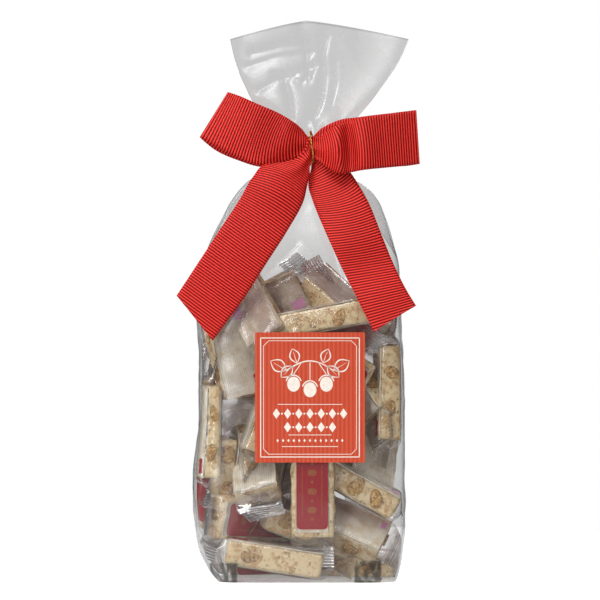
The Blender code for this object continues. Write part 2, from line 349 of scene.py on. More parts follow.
@dataclass(frozen=True)
class NougatFinish:
    """Soft cream nougat with toasted tan patches and dark specks of nut skin."""

    cream: Colour = srgb(237, 216, 174)
    tan: Colour = srgb(200, 156, 98)
    speck: Colour = srgb(92, 62, 40)
    bleed: Place = (0.0025, 0.0018, 0.0012)
    """How far red, green and blue light spreads inside."""

    def material(self) -> Material:
        """Builds the nougat from three sizes of patch."""
        graph = Graph("nougat")
        patches = graph.ramp(graph.noise(230.0, 5.0, 0.75), 0.47, 0.62)
        specks = graph.ramp(graph.noise(560.0, 4.0, 0.75), 0.57, 0.66)
        grain = graph.noise(2400.0, 3.0, 0.6)
        colour = graph.mix(patches, self.cream, self.tan)
        colour = graph.mix(graph.math("MULTIPLY", specks, 0.75), colour, self.speck)
        colour = graph.mix(graph.math("MULTIPLY", grain, 0.25), colour, self.cream)
        normal = graph.bump(graph.math("ADD", graph.noise(700.0, 6.0, 0.65), specks), 0.00035)
        rough = graph.math("MULTIPLY_ADD", patches, -0.15, 0.62)
        soft = {"Subsurface Weight": 0.25, "Subsurface Scale": 1.0, "Subsurface Radius": self.bleed}
        return graph.principled(colour, rough, normal, soft)


@dataclass(frozen=True)
class WaferFinish:
    """White wafer paper, pressed in a fine grid with painted shade in its grooves, and a little browned."""

    pale: Colour = srgb(236, 230, 214)
    browned: Colour = srgb(216, 198, 166)
    mauve: Colour = srgb(170, 142, 130)
    # The grooved colour is painted shade for the grid's pressed grooves.
    groove_shade_tint: Colour = srgb(176, 160, 134)
    pitch: float = 0.00105

    def material(self) -> Material:
        """Builds the wafer; the grid follows the sheet by its stored place."""
        graph = Graph("wafer")
        sheet = graph.stored("sheet").outputs["Vector"]
        axes = graph.add("SeparateXYZ", {0: sheet})
        turns = [graph.math("MULTIPLY", axes.outputs[i], math.tau / self.pitch) for i in (0, 1)]
        cross_lines, long_lines = [graph.math("SINE", turn) for turn in turns]
        grid = graph.math("ADD", long_lines, graph.math("MULTIPLY", cross_lines, 0.4))
        toned = graph.ramp(graph.noise(260.0, 4.0), 0.42, 0.72)
        blotches = graph.ramp(graph.noise(90.0, 4.0, 0.6), 0.3, 0.6)
        tone = graph.math("MULTIPLY", graph.stored("tone").outputs["Fac"], blotches)
        colour = graph.mix(toned, self.pale, self.browned)
        colour = graph.mix(tone, colour, self.mauve)
        # Darker along the grid's low lines, where the bump sinks: painted shade in the grooves.
        groove_shade = graph.ramp(grid, -1.4, 0.2)
        colour = graph.mix(groove_shade, graph.mix(0.4, colour, self.groove_shade_tint), colour)
        normal = graph.bump(grid, 0.00006)
        normal = graph.bump(graph.noise(1600.0, 3.0), 0.0001, 0.6, normal)
        rough = graph.math("MULTIPLY_ADD", toned, 0.2, 0.6)
        return graph.principled(colour, rough, normal)


@dataclass(frozen=True)
class HazelnutFinish:
    """Cut hazelnut: mottled pale flesh, browner towards its rim."""

    skin: Colour = srgb(142, 102, 58)
    flesh: Colour = srgb(198, 158, 96)
    pale: Colour = srgb(226, 204, 164)
    dark: Colour = srgb(92, 70, 52)

    def material(self) -> Material:
        """Builds the nut from the stored share of the way from its middle to its rim."""
        graph = Graph("hazelnut")
        broad = graph.noise(260.0, 5.0, 0.75)
        small = graph.noise(900.0, 4.0, 0.75)
        uneven = graph.math("MULTIPLY_ADD", small, 1.6, -0.8)
        way = graph.math("ADD", graph.stored("rim").outputs["Fac"], uneven)
        colour = graph.mix(graph.ramp(broad, 0.42, 0.62), self.flesh, self.skin)
        colour = graph.mix(graph.ramp(small, 0.56, 0.62), colour, self.dark)
        colour = graph.mix(graph.ramp(small, 0.38, 0.44), self.pale, colour)
        colour = graph.mix(graph.ramp(way, 0.95, 1.5), colour, self.skin)
        normal = graph.bump(small, 0.0004)
        return graph.principled(colour, graph.math("MULTIPLY_ADD", small, 0.3, 0.35), normal)


@dataclass(frozen=True)
class PrintFinish:
    """Ink or foil printed on film or card."""

    name: str
    ink: Colour
    faded: Colour
    roughness: float = 0.35
    metallic: float = 0.0

    def material(self) -> Material:
        """Builds the ink with slight mottling."""
        graph = Graph(self.name)
        mottle = graph.noise(1300.0, 4.0, 0.6)
        colour = graph.mix(graph.ramp(mottle, 0.3, 0.8), self.ink, self.faded)
        normal = graph.bump(graph.noise(500.0, 3.0), 0.0002, 0.5)
        rough = graph.math("MULTIPLY_ADD", mottle, 0.15, self.roughness)
        return graph.principled(colour, rough, normal, {"Metallic": self.metallic})


@dataclass(frozen=True)
class CardFinish:
    """Orange-red card with fine upright pinstripes."""

    ground: Colour = srgb(186, 48, 12)
    stripe: Colour = srgb(208, 82, 46)
    fibre: Colour = srgb(240, 130, 86)
    pitch: float = 0.002

    def material(self) -> Material:
        """Builds the card, its stripes and its paper tooth."""
        graph = Graph("label_card")
        across = graph.add("SeparateXYZ", {0: graph.place()}).outputs[0]
        wave = graph.math("SINE", graph.math("MULTIPLY", across, math.tau / self.pitch))
        uneven = graph.noise(120.0, 3.0)
        worn = graph.math("MULTIPLY_ADD", uneven, 0.8, 0.25)
        lines = graph.math("MULTIPLY", graph.ramp(wave, -0.3, 0.9), worn)
        colour = graph.mix(lines, self.ground, self.stripe)
        tooth = graph.noise(5200.0, 2.0)
        colour = graph.mix(graph.math("MULTIPLY", tooth, 0.16), colour, self.fibre)
        rough = graph.math("MULTIPLY_ADD", uneven, 0.12, 0.42)
        return graph.principled(colour, rough, graph.bump(tooth, 0.00005, 0.6))


@dataclass(frozen=True)
class GrosgrainFinish:
    """Red grosgrain: silky ribs, with a painted highlight on their tops and painted shade in the grooves
    between them.
    """

    # The rib colour is a painted highlight on the rib tops, and the groove colour below it is painted shade
    # between the ribs.
    rib: Colour = srgb(242, 62, 54)
    groove_shade: Colour = srgb(108, 0, 0)
    thread: Colour = srgb(196, 22, 26)

    def material(self) -> Material:
        """Builds the cloth; the stored value rib is 1 on a rib's top and 0 between two ribs."""
        graph = Graph("red_grosgrain")
        rib = graph.stored("rib").outputs["Fac"]
        weave = graph.noise(2600.0, 3.0, 0.6)
        # Paler on the rib tops and darker between them: painted highlight and painted shade over the raised
        # ribs.
        colour = graph.mix(graph.ramp(rib, 0.25, 0.75), self.groove_shade, self.rib)
        colour = graph.mix(graph.math("MULTIPLY", weave, 0.12), colour, self.thread)
        rough = graph.math("MULTIPLY_ADD", weave, 0.2, 0.38)
        return graph.principled(colour, rough, graph.bump(weave, 0.00008, 0.7), {"Specular IOR Level": 0.15})


@dataclass(frozen=True)
class GoldWireFinish:
    """Soft drawn gold wire with faint length-wise marks."""

    gold: Colour = srgb(222, 180, 96)
    worn: Colour = srgb(176, 134, 62)

    def material(self) -> Material:
        """Builds the wire's metal."""
        graph = Graph("gold_wire")
        marks = graph.noise(3200.0, 2.0)
        colour = graph.mix(marks, self.gold, self.worn)
        rough = graph.math("MULTIPLY_ADD", marks, 0.2, 0.2)
        return graph.principled(colour, rough, graph.bump(marks, 0.00006), {"Metallic": 1.0})


class NodeTree(Nodes):
    """A Geometry Nodes tree with named sizes, applied to an object and then taken off it."""

    def __init__(self, name: str) -> None:
        """Starts a tree with a geometry input and output."""
        super().__init__(bpy.data.node_groups.new(name, "GeometryNodeTree"))
        for way in ("INPUT", "OUTPUT"):
            self.tree.interface.new_socket("Geometry", in_out=way, socket_type="NodeSocketGeometry")
        self.source = self.tree.nodes.new("NodeGroupInput")
        self.result = self.tree.nodes.new("NodeGroupOutput")
        self.sizes: dict[str, Any] = {}

    def size(self, name: str, kind: str, value: Any) -> Socket:
        """Adds a named input of that kind and remembers the value it is given."""
        made = self.tree.interface.new_socket(name, in_out="INPUT", socket_type="NodeSocket" + kind)
        self.sizes[made.identifier] = value
        return self.source.outputs[name]

    def named(self, name: str, kind: str) -> Socket:
        """A value stored on the mesh, of that kind."""
        return self.add("GeometryNodeInputNamedAttribute", {"Name": name}, data_type=kind).outputs[0]

    def scaled(self, vector: Socket, by: Socket) -> Socket:
        """A vector times a number."""
        return self.add("VectorMath", {0: vector, "Scale": by}, operation="SCALE").outputs[0]

    def close(self, geometry: Socket, material: Material) -> None:
        """Ends the tree in Realize Instances and Set Material."""
        finish = self.size("Finish", "Material", material)
        real = self.add("GeometryNodeRealizeInstances", {0: geometry})
        dressed = self.add("GeometryNodeSetMaterial", {"Geometry": real.outputs[0], "Material": finish})
        self.tree.links.new(dressed.outputs[0], self.result.inputs[0])

    def applied(self, source: Object, name: str) -> Object:
        """Runs the tree on an object.

        Args:
            source: The object, which is removed.
            name: Name of the plain mesh object that takes its place.

        Returns:
            The new object, with no modifier on it.
        """
        modifier = source.modifiers.new(self.tree.name, "NODES")
        modifier.node_group = self.tree
        for identifier, value in self.sizes.items():
            modifier[identifier] = value
        graph = bpy.context.evaluated_depsgraph_get()
        mesh = bpy.data.meshes.new_from_object(
            source.evaluated_get(graph), preserve_all_data_layers=True, depsgraph=graph)
        bpy.data.objects.remove(source)
        mesh.name = name
        return Builder.linked(name, mesh)


@dataclass
class FilmBag:
    """The clear film: block bottom, bulging body, sloping shoulders, pleated neck, flared mouth."""

    levels: tuple = (
        (0.0, -39.5, 44.2, 23.5, 7.0), (2.5, -41.8, 45.2, 24.6, 7.0), (10.0, -46.4, 46.9, 25.2, 6.0),
        (30.0, -50.2, 48.4, 25.4, 5.0), (46.0, -51.2, 48.3, 25.4, 5.0), (77.0, -48.6, 48.2, 25.2, 5.0),
        (104.0, -48.4, 47.6, 25.0, 5.0), (135.0, -49.0, 45.6, 24.2, 4.5), (150.0, -46.2, 45.4, 22.6, 4.0),
        (160.0, -42.6, 43.2, 20.2, 3.5), (169.0, -38.6, 40.6, 17.2, 3.0), (178.0, -34.2, 36.6, 13.8, 2.7),
        (187.5, -24.4, 27.4, 10.0, 2.4), (194.0, -10.4, 17.4, 6.9, 2.2), (198.5, -3.6, 11.8, 5.3, 2.0),
        (202.0, -2.3, 10.7, 4.9, 2.0), (206.0, -4.4, 12.6, 4.7, 2.0), (212.0, -12.4, 20.6, 4.6, 1.8),
        (220.0, -20.6, 29.2, 4.8, 1.6), (231.0, -26.6, 37.8, 5.4, 1.5), (244.0, -31.6, 46.6, 6.4, 1.5),
        (253.0, -33.8, 50.5, 7.4, 1.5),
    )
    """Height, left edge, right edge, half depth and squareness of each level."""
    rings: int = 292
    sides: int = 316
    traced: int = 2401
    neck: float = 202.0
    mouth: float = 253.0
    crown: float = 8.6
    crown_rise: int = 4
    peak: float = -0.15
    peak_power: float = 1.25
    pleats: int = 9
    pleat_depth: float = 0.16
    pleat_reach: float = 20.0
    gusset: tuple[float, float, float, float] = (176.0, 30.0, 0.2, 0.22)
    """Middle height, reach up and down, depth as a share of the width, and width of the side tucks."""
    crumple_depth: float = 1.3
    crumple_length: float = 30.0
    crumple_stretch: Place = (1.0, 1.0, 0.55)
    calm_reach: float = 14.0
    patch_length: float = 40.0
    """Broad crumples are stretched upwards and calm near the neck; small ones come in patches."""
    fine_depth: float = 0.45
    fine_length: float = 10.0
    inset: float = 0.3
    flaps: tuple = ((-43.0, -30.0, 9.4), (24.5, 37.0, 10.6))
    """Folded corners that show at the foot of the front: left edge, right edge and top."""
    foot: Pair = (2.0, 14.0)
    packed: Pair = (125.0, 20.0)
    # Below filled, the back and the sides of the film are tinted denser: painted shade of the heap inside.
    filled: Pair = (172.0, -30.0)
    gathered: Pair = (186.0, 18.0)
    flattened: Pair = (206.0, 12.0)
    """Heights at which the film starts to change, and over what reach it does."""
    soft: float = 0.955
    lowest: float = 0.9
    floor_gap: float = 0.15
    base_rings: tuple = (0.03, 0.35, 0.7, 0.9, 0.97)
    """Shares of the way from the middle of the base to its edge."""
    front_layers: float = 0.05
    # Dense tint of the back half, and its extra where the sweets fill the bag: painted shade of the inside of
    # the bag.
    back_shade_tint: Pair = (0.19, 0.17)
    edge_layers: float = 0.14
    flare_layers: float = 0.22
    hem_layers: float = 0.22
    creases: tuple = (
        (0.8, 1.2, ((-20.6, 228.9), (-11.5, 234.0), (-4.0, 236.3), (6.3, 241.2))),
        (0.8, 1.2, ((-13.0, 236.5), (0.0, 233.0), (6.5, 240.5))),
        (1.1, 1.5, ((-8.0, 233.0), (-5.8, 226.0), (-5.0, 216.0))),
        (0.8, 1.2, ((-1.5, 260.0), (2.0, 247.0), (3.5, 234.0))),
        (1.2, 1.6, ((12.5, 255.0), (9.8, 246.0), (10.6, 236.0), (9.2, 224.0), (6.4, 217.0))),
        (0.8, 1.4, ((16.0, 252.0), (17.6, 249.5))),
        (0.9, 1.3, ((17.5, 216.5), (28.0, 227.0), (36.0, 231.5), (43.0, 240.0))),
        (0.9, 2.2, ((-24.0, 246.0), (-10.0, 249.5), (2.0, 251.0))),
        (0.9, 2.2, ((-26.0, 240.0), (-12.0, 244.5), (4.0, 246.5))),
        (0.6, 1.2, ((14.0, 222.0), (16.5, 232.0), (16.0, 243.0))),
        (1.6, 3.0, ((11.0, 170.0), (13.0, 160.0), (18.0, 142.0))),
        (1.4, 2.6, ((-17.0, 146.0), (-9.0, 151.0), (-3.0, 157.0))),
        (0.9, 2.0, ((-31.0, 168.0), (-37.0, 158.0), (-40.0, 148.0))),
        (0.9, 2.0, ((34.0, 166.0), (40.0, 152.0), (41.0, 142.0))),
    )
    """Creases pressed into the film's front: depth, width, and the line in X and Z."""
    finish: ClearFilm = field(default_factory=lambda: ClearFilm(
        "bag_film", clear=(0.95, 0.95, 0.95), dense=(0.2, 0.2, 0.195), folded=0.0))

    def table(self) -> tuple[np.ndarray, np.ndarray]:
        """The heights of the levels, and the other numbers of each."""
        numbers = np.array(self.levels)
        return numbers[:, 0], numbers[:, 1:]

    def section(self, heights: np.ndarray) -> np.ndarray:
        """Left edge, right edge, half depth and squareness at each height."""
        return hermite(heights, *self.table())

    @staticmethod
    def past(height: np.ndarray, level: Pair) -> np.ndarray:
        """How far the film has changed at each height: 0 to 1 over the level's reach."""
        start, reach = level
        return smooth_step((height - start) / reach)

    def ring(self, height: float, row: np.ndarray, angle: np.ndarray) -> np.ndarray:
        """Points round the bag at one height.

        Args:
            height: Height of the ring.
            row: Its left edge, right edge, half depth and squareness.
            angle: Directions of the points, seen from above.

        Returns:
            One point for each direction.
        """
        left, right, half_depth, power = row
        across, deep = squared(angle, power)
        turn = np.arctan2(*(np.sign(way) * np.abs(way) ** (power / 2) for way in (deep, across)))
        near_neck = 1 - smooth_step(abs(height - self.neck) / self.pleat_reach)
        folds = self.pleat_depth * near_neck * np.cos(self.pleats * turn)
        middle, length, depth, width = self.gusset
        tuck = depth * (1 - smooth_step(abs(height - middle) / length)) * np.exp(-((deep / width) ** 2))
        rise = np.clip((height - self.neck) / (self.mouth - self.neck), 0, 1)
        from_peak = np.abs(np.interp(across, (-1, self.peak, 1), (-1, 0, 1)))
        return np.stack([
            (left + right) / 2 + (right - left) / 2 * across * (1 + folds - tuck),
            half_depth * deep * (1 + folds),
            height + self.crown * rise**self.crown_rise * (1 - from_peak**self.peak_power),
        ], axis=-1)

    def heights(self) -> np.ndarray:
        """Heights of the rings, closer together where the shape changes fast."""
        knots, _ = self.table()
        index = np.linspace(0, 1, len(knots))
        spread = 0.72 * knots / knots[-1] + 0.28 * index
        return np.interp(np.linspace(0, 1, self.rings), spread, knots)

    def surface(self) -> tuple[np.ndarray, np.ndarray]:
        """The smooth film as rings of evenly spaced points, and the outward direction at each."""
        fine = np.linspace(0, math.tau, self.traced)
        rings = []
        heights = self.heights()
        for height, row in zip(heights, self.section(heights)):
            points = self.ring(height, row, fine)
            way = arc(points)
            even = np.linspace(0, way[-1], self.sides, endpoint=False)
            rings.append(np.stack([np.interp(even, way, points[:, i]) for i in range(3)], axis=-1))
        points = np.array(rings)
        along = np.roll(points, -1, axis=1) - np.roll(points, 1, axis=1)
        out = np.stack([along[..., 1], -along[..., 0], np.zeros(along.shape[:2])], axis=-1)
        return points, unit(out)

    def pressed_creases(self, points: np.ndarray) -> np.ndarray:
        """Depth of the creases at each point of the film's front."""
        depth = np.zeros(len(points))
        for most, width, line in self.creases:
            nearest = np.full(len(points), 1e9)
            for start, end in zip(line, line[1:]):
                a, b = np.array(start), np.array(end)
                flat = points[:, [0, 2]] - a
                share = np.clip(flat @ (b - a) / ((b - a) @ (b - a)), 0, 1)
                nearest = np.minimum(nearest, np.linalg.norm(flat - share[:, None] * (b - a), axis=1))
            depth += most * np.exp(-nearest / width)
        return depth * (points[:, 1] < 0)

    def relief(self, points: np.ndarray) -> np.ndarray:
        """How far the film stands out from its smooth form at each point."""
        height = points[:, 2]
        body = self.past(height, self.foot)
        neck = 1 - 0.75 * smooth_step(1 - np.abs(height - self.neck) / self.calm_reach)
        broad = crumple(points * np.array(self.crumple_stretch), self.crumple_length, 5, 4)
        patches = smooth_step(crumple(points, self.patch_length, 4, 2) * 3 + 0.6)
        small = crumple(points, self.fine_length, 3, 9) * patches
        small *= 1 - 0.8 * self.past(height, self.packed)
        flat = self.past(height, self.flattened)
        broad_depth = self.crumple_depth * (1 - 0.35 * flat)
        return body * neck * (broad_depth * broad + self.fine_depth * (1 - 0.9 * flat) * small) - self.inset

    def hold(self, points: np.ndarray, margin: float) -> np.ndarray:
        """Moves points that would stick out of the film back inside it.

        Args:
            points: Places in millimetres from the bag's centre line.
            margin: Least distance to keep from the smooth film.

        Returns:
            The places, inside.
        """
        left, right, half_depth, power = self.section(np.clip(points[:, 2], 0, self.mouth)).T
        centre = (left + right) / 2
        across = (points[:, 0] - centre) / ((right - left) / 2 - margin)
        deep = points[:, 1] / (half_depth - margin)
        reach = (np.abs(across) ** power + np.abs(deep) ** power) ** (1 / power)
        spare = np.maximum(reach - self.soft, 0.0) / (1 - self.soft)
        pressed = self.soft + (1 - self.soft) * (1 - np.exp(-spare))
        beyond = np.where(reach > self.soft, reach / pressed, 1.0)
        held = points.copy()
        held[:, 0] = centre + (points[:, 0] - centre) / beyond
        held[:, 1] = points[:, 1] / beyond
        held[:, 2] = np.maximum(points[:, 2], self.lowest)
        return held

    def layers(self, points: np.ndarray) -> np.ndarray:
        """Share of the dense tint: the gussets and the gathered neck hold folded film; the back half, most
        where the sweets fill the bag, is tinted denser as painted shade of the dim inside.
        """
        height = points[:, 2]
        flare = self.past(height, self.gathered)
        left, right, half_depth, _ = self.section(np.clip(height, 0, self.mouth)).T
        across = np.abs(points[:, 0] - (left + right) / 2) / ((right - left) / 2)
        deep = points[:, 1] / half_depth
        # Where the sweets fill the bag, the back and the sides take more dense tint: painted shade of the
        # heap.
        filled = self.past(height, self.filled)
        folded, more = self.back_shade_tint
        body = self.front_layers + (folded + more * filled) * smooth_step(deep * 1.5 + 0.2)
        edge = self.edge_layers * smooth_step((across - 0.9) / 0.1)
        body = np.maximum(body, edge * (0.5 + 0.5 * filled))
        for low_x, high_x, top in self.flaps:
            inside = smooth_step((points[:, 0] - low_x) * 3) * smooth_step((high_x - points[:, 0]) * 3)
            mottle = np.clip(0.8 + 1.3 * crumple(points, 5, 3, 3), 0.2, 1.3)
            body = np.maximum(body, mottle * inside * smooth_step((top - height) * 3) * (deep < -0.5))
        return body * (1 - flare) + self.flare_layers * flare

    def build(self) -> None:
        """Makes the film with its flat bottom panel."""
        rings, out = self.surface()
        points, outward = rings.reshape(-1, 3), out.reshape(-1, 3)
        lift = self.relief(points) - self.pressed_creases(points)
        points = points + outward * lift[:, None]
        points[: self.sides, 2] = self.floor_gap
        base = points[: self.sides]
        middle = base.mean(axis=0)
        inner = [middle + (base - middle) * share for share in self.base_rings]
        stacked = np.concatenate([*inner, points])
        faces = grid_faces(self.rings + len(inner), self.sides, True).tolist()
        faces.append(list(range(self.sides))[::-1])
        film = Builder.piece("bag_film", stacked, faces)
        layers = self.layers(stacked)
        layers[-self.sides :] += self.hem_layers
        Builder.values(film, "layers", layers)
        film.data.materials.append(self.finish.material())
        Builder.fit(film, "film", "bag")


class Shows(Enum):
    """Which face of a sweet is turned to the front, as a roll about its length in degrees."""

    BAND = 0.0
    SIDE = 90.0
    WAFER = 180.0
    OTHER_SIDE = 270.0


@dataclass(frozen=True)
class Sweet:
    """Where one wrapped nougat lies in the bag."""

    middle: Place
    angle: float
    lean: float
    shows: Shows
    roll: float = 0.0
    kind: int = 0
    nuts: tuple[float, ...] = (-0.5, 0.45)
    """Shares of the way along it of the nuts on each narrow face."""
    firm: bool = True

    def turn(self) -> Matrix:
        """Its rotation: length, width and front, from the bag's own axes."""
        upright = Matrix(((1, 0, 0), (0, 0, -1), (0, 1, 0)))
        about_view = Matrix.Rotation(math.radians(self.angle), 3, Vector((0, -1, 0)))
        leaning = Matrix.Rotation(math.radians(-self.lean), 3, Vector((0, 0, 1)))
        rolled = Matrix.Rotation(math.radians(self.shows.value + self.roll), 3, Vector((1, 0, 0)))
        return about_view @ leaning @ upright @ rolled


@dataclass
class SweetShape:
    """Sizes of one wrapped nougat, and the shapes that make it up."""

    length: float = 44.0
    width: float = 20.2
    core: float = 11.2
    wafer: float = 0.7
    slack: float = 0.8
    worn: float = 1.1
    """Radius of the bar's edges."""
    front_sheet: Pair = (-5.0, -4.0)
    back_sheet: Pair = (-0.2, 0.1)
    """How much longer and wider than the bar a wafer sheet is."""
    crimp: float = 9.0
    shoulder: float = 5.0
    ridge_pitch: float = 1.35
    ridge_height: float = 0.3
    round_points: int = 36

    def half_thick(self) -> float:
        """Half the thickness of the wrapped sweet."""
        return self.core / 2 + self.wafer + self.slack / 2

    def nougat(self, seed: int) -> Shape:
        """The cut bar: a box with worn edges and an uneven surface."""
        mesh = bmesh.new()
        bmesh.ops.create_cube(mesh, size=1.0)
        bmesh.ops.scale(mesh, vec=(self.length, self.width, self.core), verts=mesh.verts)
        for axis, cuts in enumerate((24, 11, 7)):
            edges = [e for e in mesh.edges if abs((e.verts[0].co - e.verts[1].co).normalized()[axis]) > 0.9]
            bmesh.ops.subdivide_edges(mesh, edges=edges, cuts=cuts, use_grid_fill=True)
        half = Vector((self.length, self.width, self.core)) / 2
        shift = Vector((seed * 37.0, seed * 11.0, 0))
        for vertex in mesh.verts:
            inner = Vector(max(-h + self.worn, min(h - self.worn, c)) for c, h in zip(vertex.co, half))
            vertex.co = inner + (vertex.co - inner).normalized() * self.worn
            lump = noise.fractal((vertex.co + shift) * 0.16, 0.7, 2.2, 4)
            vertex.co += (vertex.co - inner).normalized() * (lump * 0.3 - 0.1)
        mesh.verts.ensure_lookup_table()
        points = np.array([v.co for v in mesh.verts])
        faces = [[v.index for v in f.verts] for f in mesh.faces]
        mesh.free()
        return points, faces

    def sheet(self, side: int, seed: int) -> Shape:
        """A wafer sheet on one broad face, closed round its edge; side is 1 in front, -1 behind."""
        rows, columns = 22, 12
        rng = np.random.default_rng(seed + 5)
        longer, wider = self.front_sheet if side > 0 else self.back_sheet
        length, width = self.length + longer, self.width + wider
        along = np.linspace(-0.5, 0.5, rows) * length
        across = np.linspace(-0.5, 0.5, columns) * width
        grid = np.stack(np.meshgrid(along, across, indexing="ij"), axis=-1).reshape(-1, 2)
        edge = (np.abs(grid[:, 0]) > length * 0.49) | (np.abs(grid[:, 1]) > width * 0.49)
        grid = grid + edge[:, None] * rng.normal(0, 0.16, grid.shape)
        wave = 0.12 * np.sin(grid[:, 0] * 0.35 + seed) * np.cos(grid[:, 1] * 0.4 + 2 * seed)
        low = np.column_stack([grid, np.full(len(grid), self.core / 2 - 0.15)])
        high = np.column_stack([grid, self.core / 2 + self.wafer + wave - 0.2 * edge])
        top = grid_faces(rows, columns, False)
        count = rows * columns
        rim = [*range(columns), *range(2 * columns - 1, count, columns)]
        rim += [*range(count - 2, count - columns - 1, -1), *range(count - 2 * columns, 0, -columns)]
        walls = [(a, b, count + b, count + a) for a, b in zip(rim, rim[1:] + rim[:1])]
        points = np.concatenate([low, high]) * np.array([1, 1, side])
        faces = [*[tuple(f) for f in top], *[tuple(count + i for i in f[::-1]) for f in top], *walls]
        if side < 0:
            faces = [face[::-1] for face in faces]
        return points, faces

    def film_relief(self, points: np.ndarray, seed: int) -> np.ndarray:
        """How far the wrapper stands out from its smooth form."""
        ends = smooth_step((np.abs(points[:, 0]) - self.length / 2 + 10) / 12)
        creases = crumple(points * np.array([0.35, 1.0, 1.0]), 5.0, 5, seed + 60)
        return (0.25 + 0.5 * ends) * crumple(points, 9.0, 5, seed + 30) + (0.14 + 0.2 * ends) * creases

    def wrapper(self, seed: int) -> tuple[np.ndarray, np.ndarray, np.ndarray]:
        """The flow wrap: a loose sleeve that is pressed flat and ridged at both ends.

        Args:
            seed: Seed of its crumples and of the bends of its ends.

        Returns:
            Points, faces, and the share of the crimped tint at each point.
        """
        rng = np.random.default_rng(seed + 90)
        start = self.length / 2 + 0.6
        sleeve = np.linspace(-start, start, 22)[1:-1]
        shoulder = np.linspace(0, self.shoulder, 7)[:-1]
        beyond = np.concatenate([shoulder, self.shoulder + np.arange(0, self.crimp, 0.34)])
        stations = np.concatenate([-(start + beyond[::-1]), sleeve, start + beyond])
        bends = {-1: rng.uniform(-30, 30), 1: rng.uniform(-30, 30)}
        angle = circle(self.round_points)
        rings, crimped = [], []
        for station in stations:
            side = -1 if station < 0 else 1
            past = max(abs(station) - start, 0.0)
            flat = float(smooth_step(past / self.shoulder))
            half_width = (self.width / 2 + self.slack / 2) * (1 - 0.03 * flat)
            half_thick = self.half_thick() * (1 - flat) + 0.16 * flat
            across, up = squared(angle, 6 - 3.5 * flat)
            across, up = half_width * across, half_thick * up
            pleat = 1.1 * flat * (1 - flat) * 4 * np.sin(across * 1.1 + seed)
            ridges = self.ridge_height * flat**4 * np.sin(past * math.tau / self.ridge_pitch)
            up = up + pleat * np.sign(up) * 0.5 + ridges + flat * 0.5 * np.sin(across * 0.3 + seed)
            bend = math.radians(bends[side]) * float(smooth_step(past / 9))
            reach_x = abs(station) if past == 0 else start + past * math.cos(bend * 0.6)
            x = side * (reach_x - up * math.sin(bend))
            z = past * math.sin(bend * 0.6) + up * math.cos(bend)
            rings.append(np.stack([x * np.ones_like(across), across, z], axis=-1))
            crimped.append(np.full(len(angle), flat))
        points = np.concatenate(rings)
        out = np.concatenate([np.stack([0 * angle, np.cos(angle), np.sin(angle)], axis=-1)] * len(stations))
        crimped = np.concatenate(crimped)
        relief = self.film_relief(points, seed) * (1 - 0.8 * crimped)
        points = points + out * relief[:, None]
        faces = grid_faces(len(stations), self.round_points, True)
        return points, faces[:, ::-1], crimped

    def patch(self, outline: np.ndarray, seed: int, side: int, gap: float) -> Shape:
        """A flat print on the wrapper's broad face.

        Args:
            outline: Rows of a grid over the print, in X and Y, as an array of rows, columns and 2.
            seed: Seed of the wrapper that it lies on.
            side: 1 on the front, -1 on the back.
            gap: How far the print lies over the film.

        Returns:
            Points and faces, facing away from the sweet.
        """
        rows, columns, _ = outline.shape
        flat = outline.reshape(-1, 2)
        points = np.column_stack([flat, np.full(len(flat), side * self.half_thick())])
        crown = 1 - 0.16 * np.abs(flat[:, 1] / (self.width / 2)) ** 6
        points[:, 2] = side * (self.half_thick() * crown + self.film_relief(points, seed) * 0.9 + gap)
        faces = grid_faces(rows, columns, False)
        return points, (faces if side > 0 else faces[:, ::-1]).tolist()

    @staticmethod
    def rounded(middle: Pair, size: Pair, corner: float, rows: int, columns: int) -> np.ndarray:
        """A grid over a rectangle with round corners: rows of places in X and Y."""
        along = 0.5 * np.sin(np.linspace(-0.5, 0.5, rows) * math.pi) * size[0]
        share = np.linspace(-0.5, 0.5, columns)
        into = np.clip(np.abs(along) - (size[0] / 2 - corner), 0, corner)
        narrowed = size[1] - 2 * (corner - np.sqrt(np.maximum(corner**2 - into**2, 0)))
        grid = np.empty((rows, columns, 2))
        grid[..., 0] = middle[0] + along[:, None]
        grid[..., 1] = middle[1] + share[None, :] * narrowed[:, None]
        return grid


@dataclass(frozen=True)
class WrapperPrint:
    """Sizes of the shapes on a wrapper, and their places from the middle of its broad faces."""

    band: Pair = (36.0, 15.6)
    band_corner: float = 2.2
    dot: Pair = (1.4, 1.4)
    oval: Pair = (3.0, 4.6)
    mark_step: float = 4.4
    rule: Pair = (24.0, 0.35)
    rule_height: float = 4.9
    stripe: Pair = (0.95, 4.4)
    stripe_start: float = 19.6
    stripe_step: float = 1.25
    stripe_counts: tuple[int, int] = (2, 5)
    stripe_heights: Pair = (-5.6, 5.2)
    tag: Pair = (2.5, 3.4)
    tag_start: Pair = (-19.0, 7.0)
    tag_step: float = 2.4
    tag_count: int = 3
    on_film: float = 0.1
    on_band: float = 0.2
    """How far a print lies over the film, alone and where it lies on the band."""


@dataclass
class Layout:
    """Where shapes lie in the bag: middle, rotation, kind and scale of each."""

    middles: np.ndarray
    turns: list[Matrix]
    kinds: list[int]
    sizes: np.ndarray


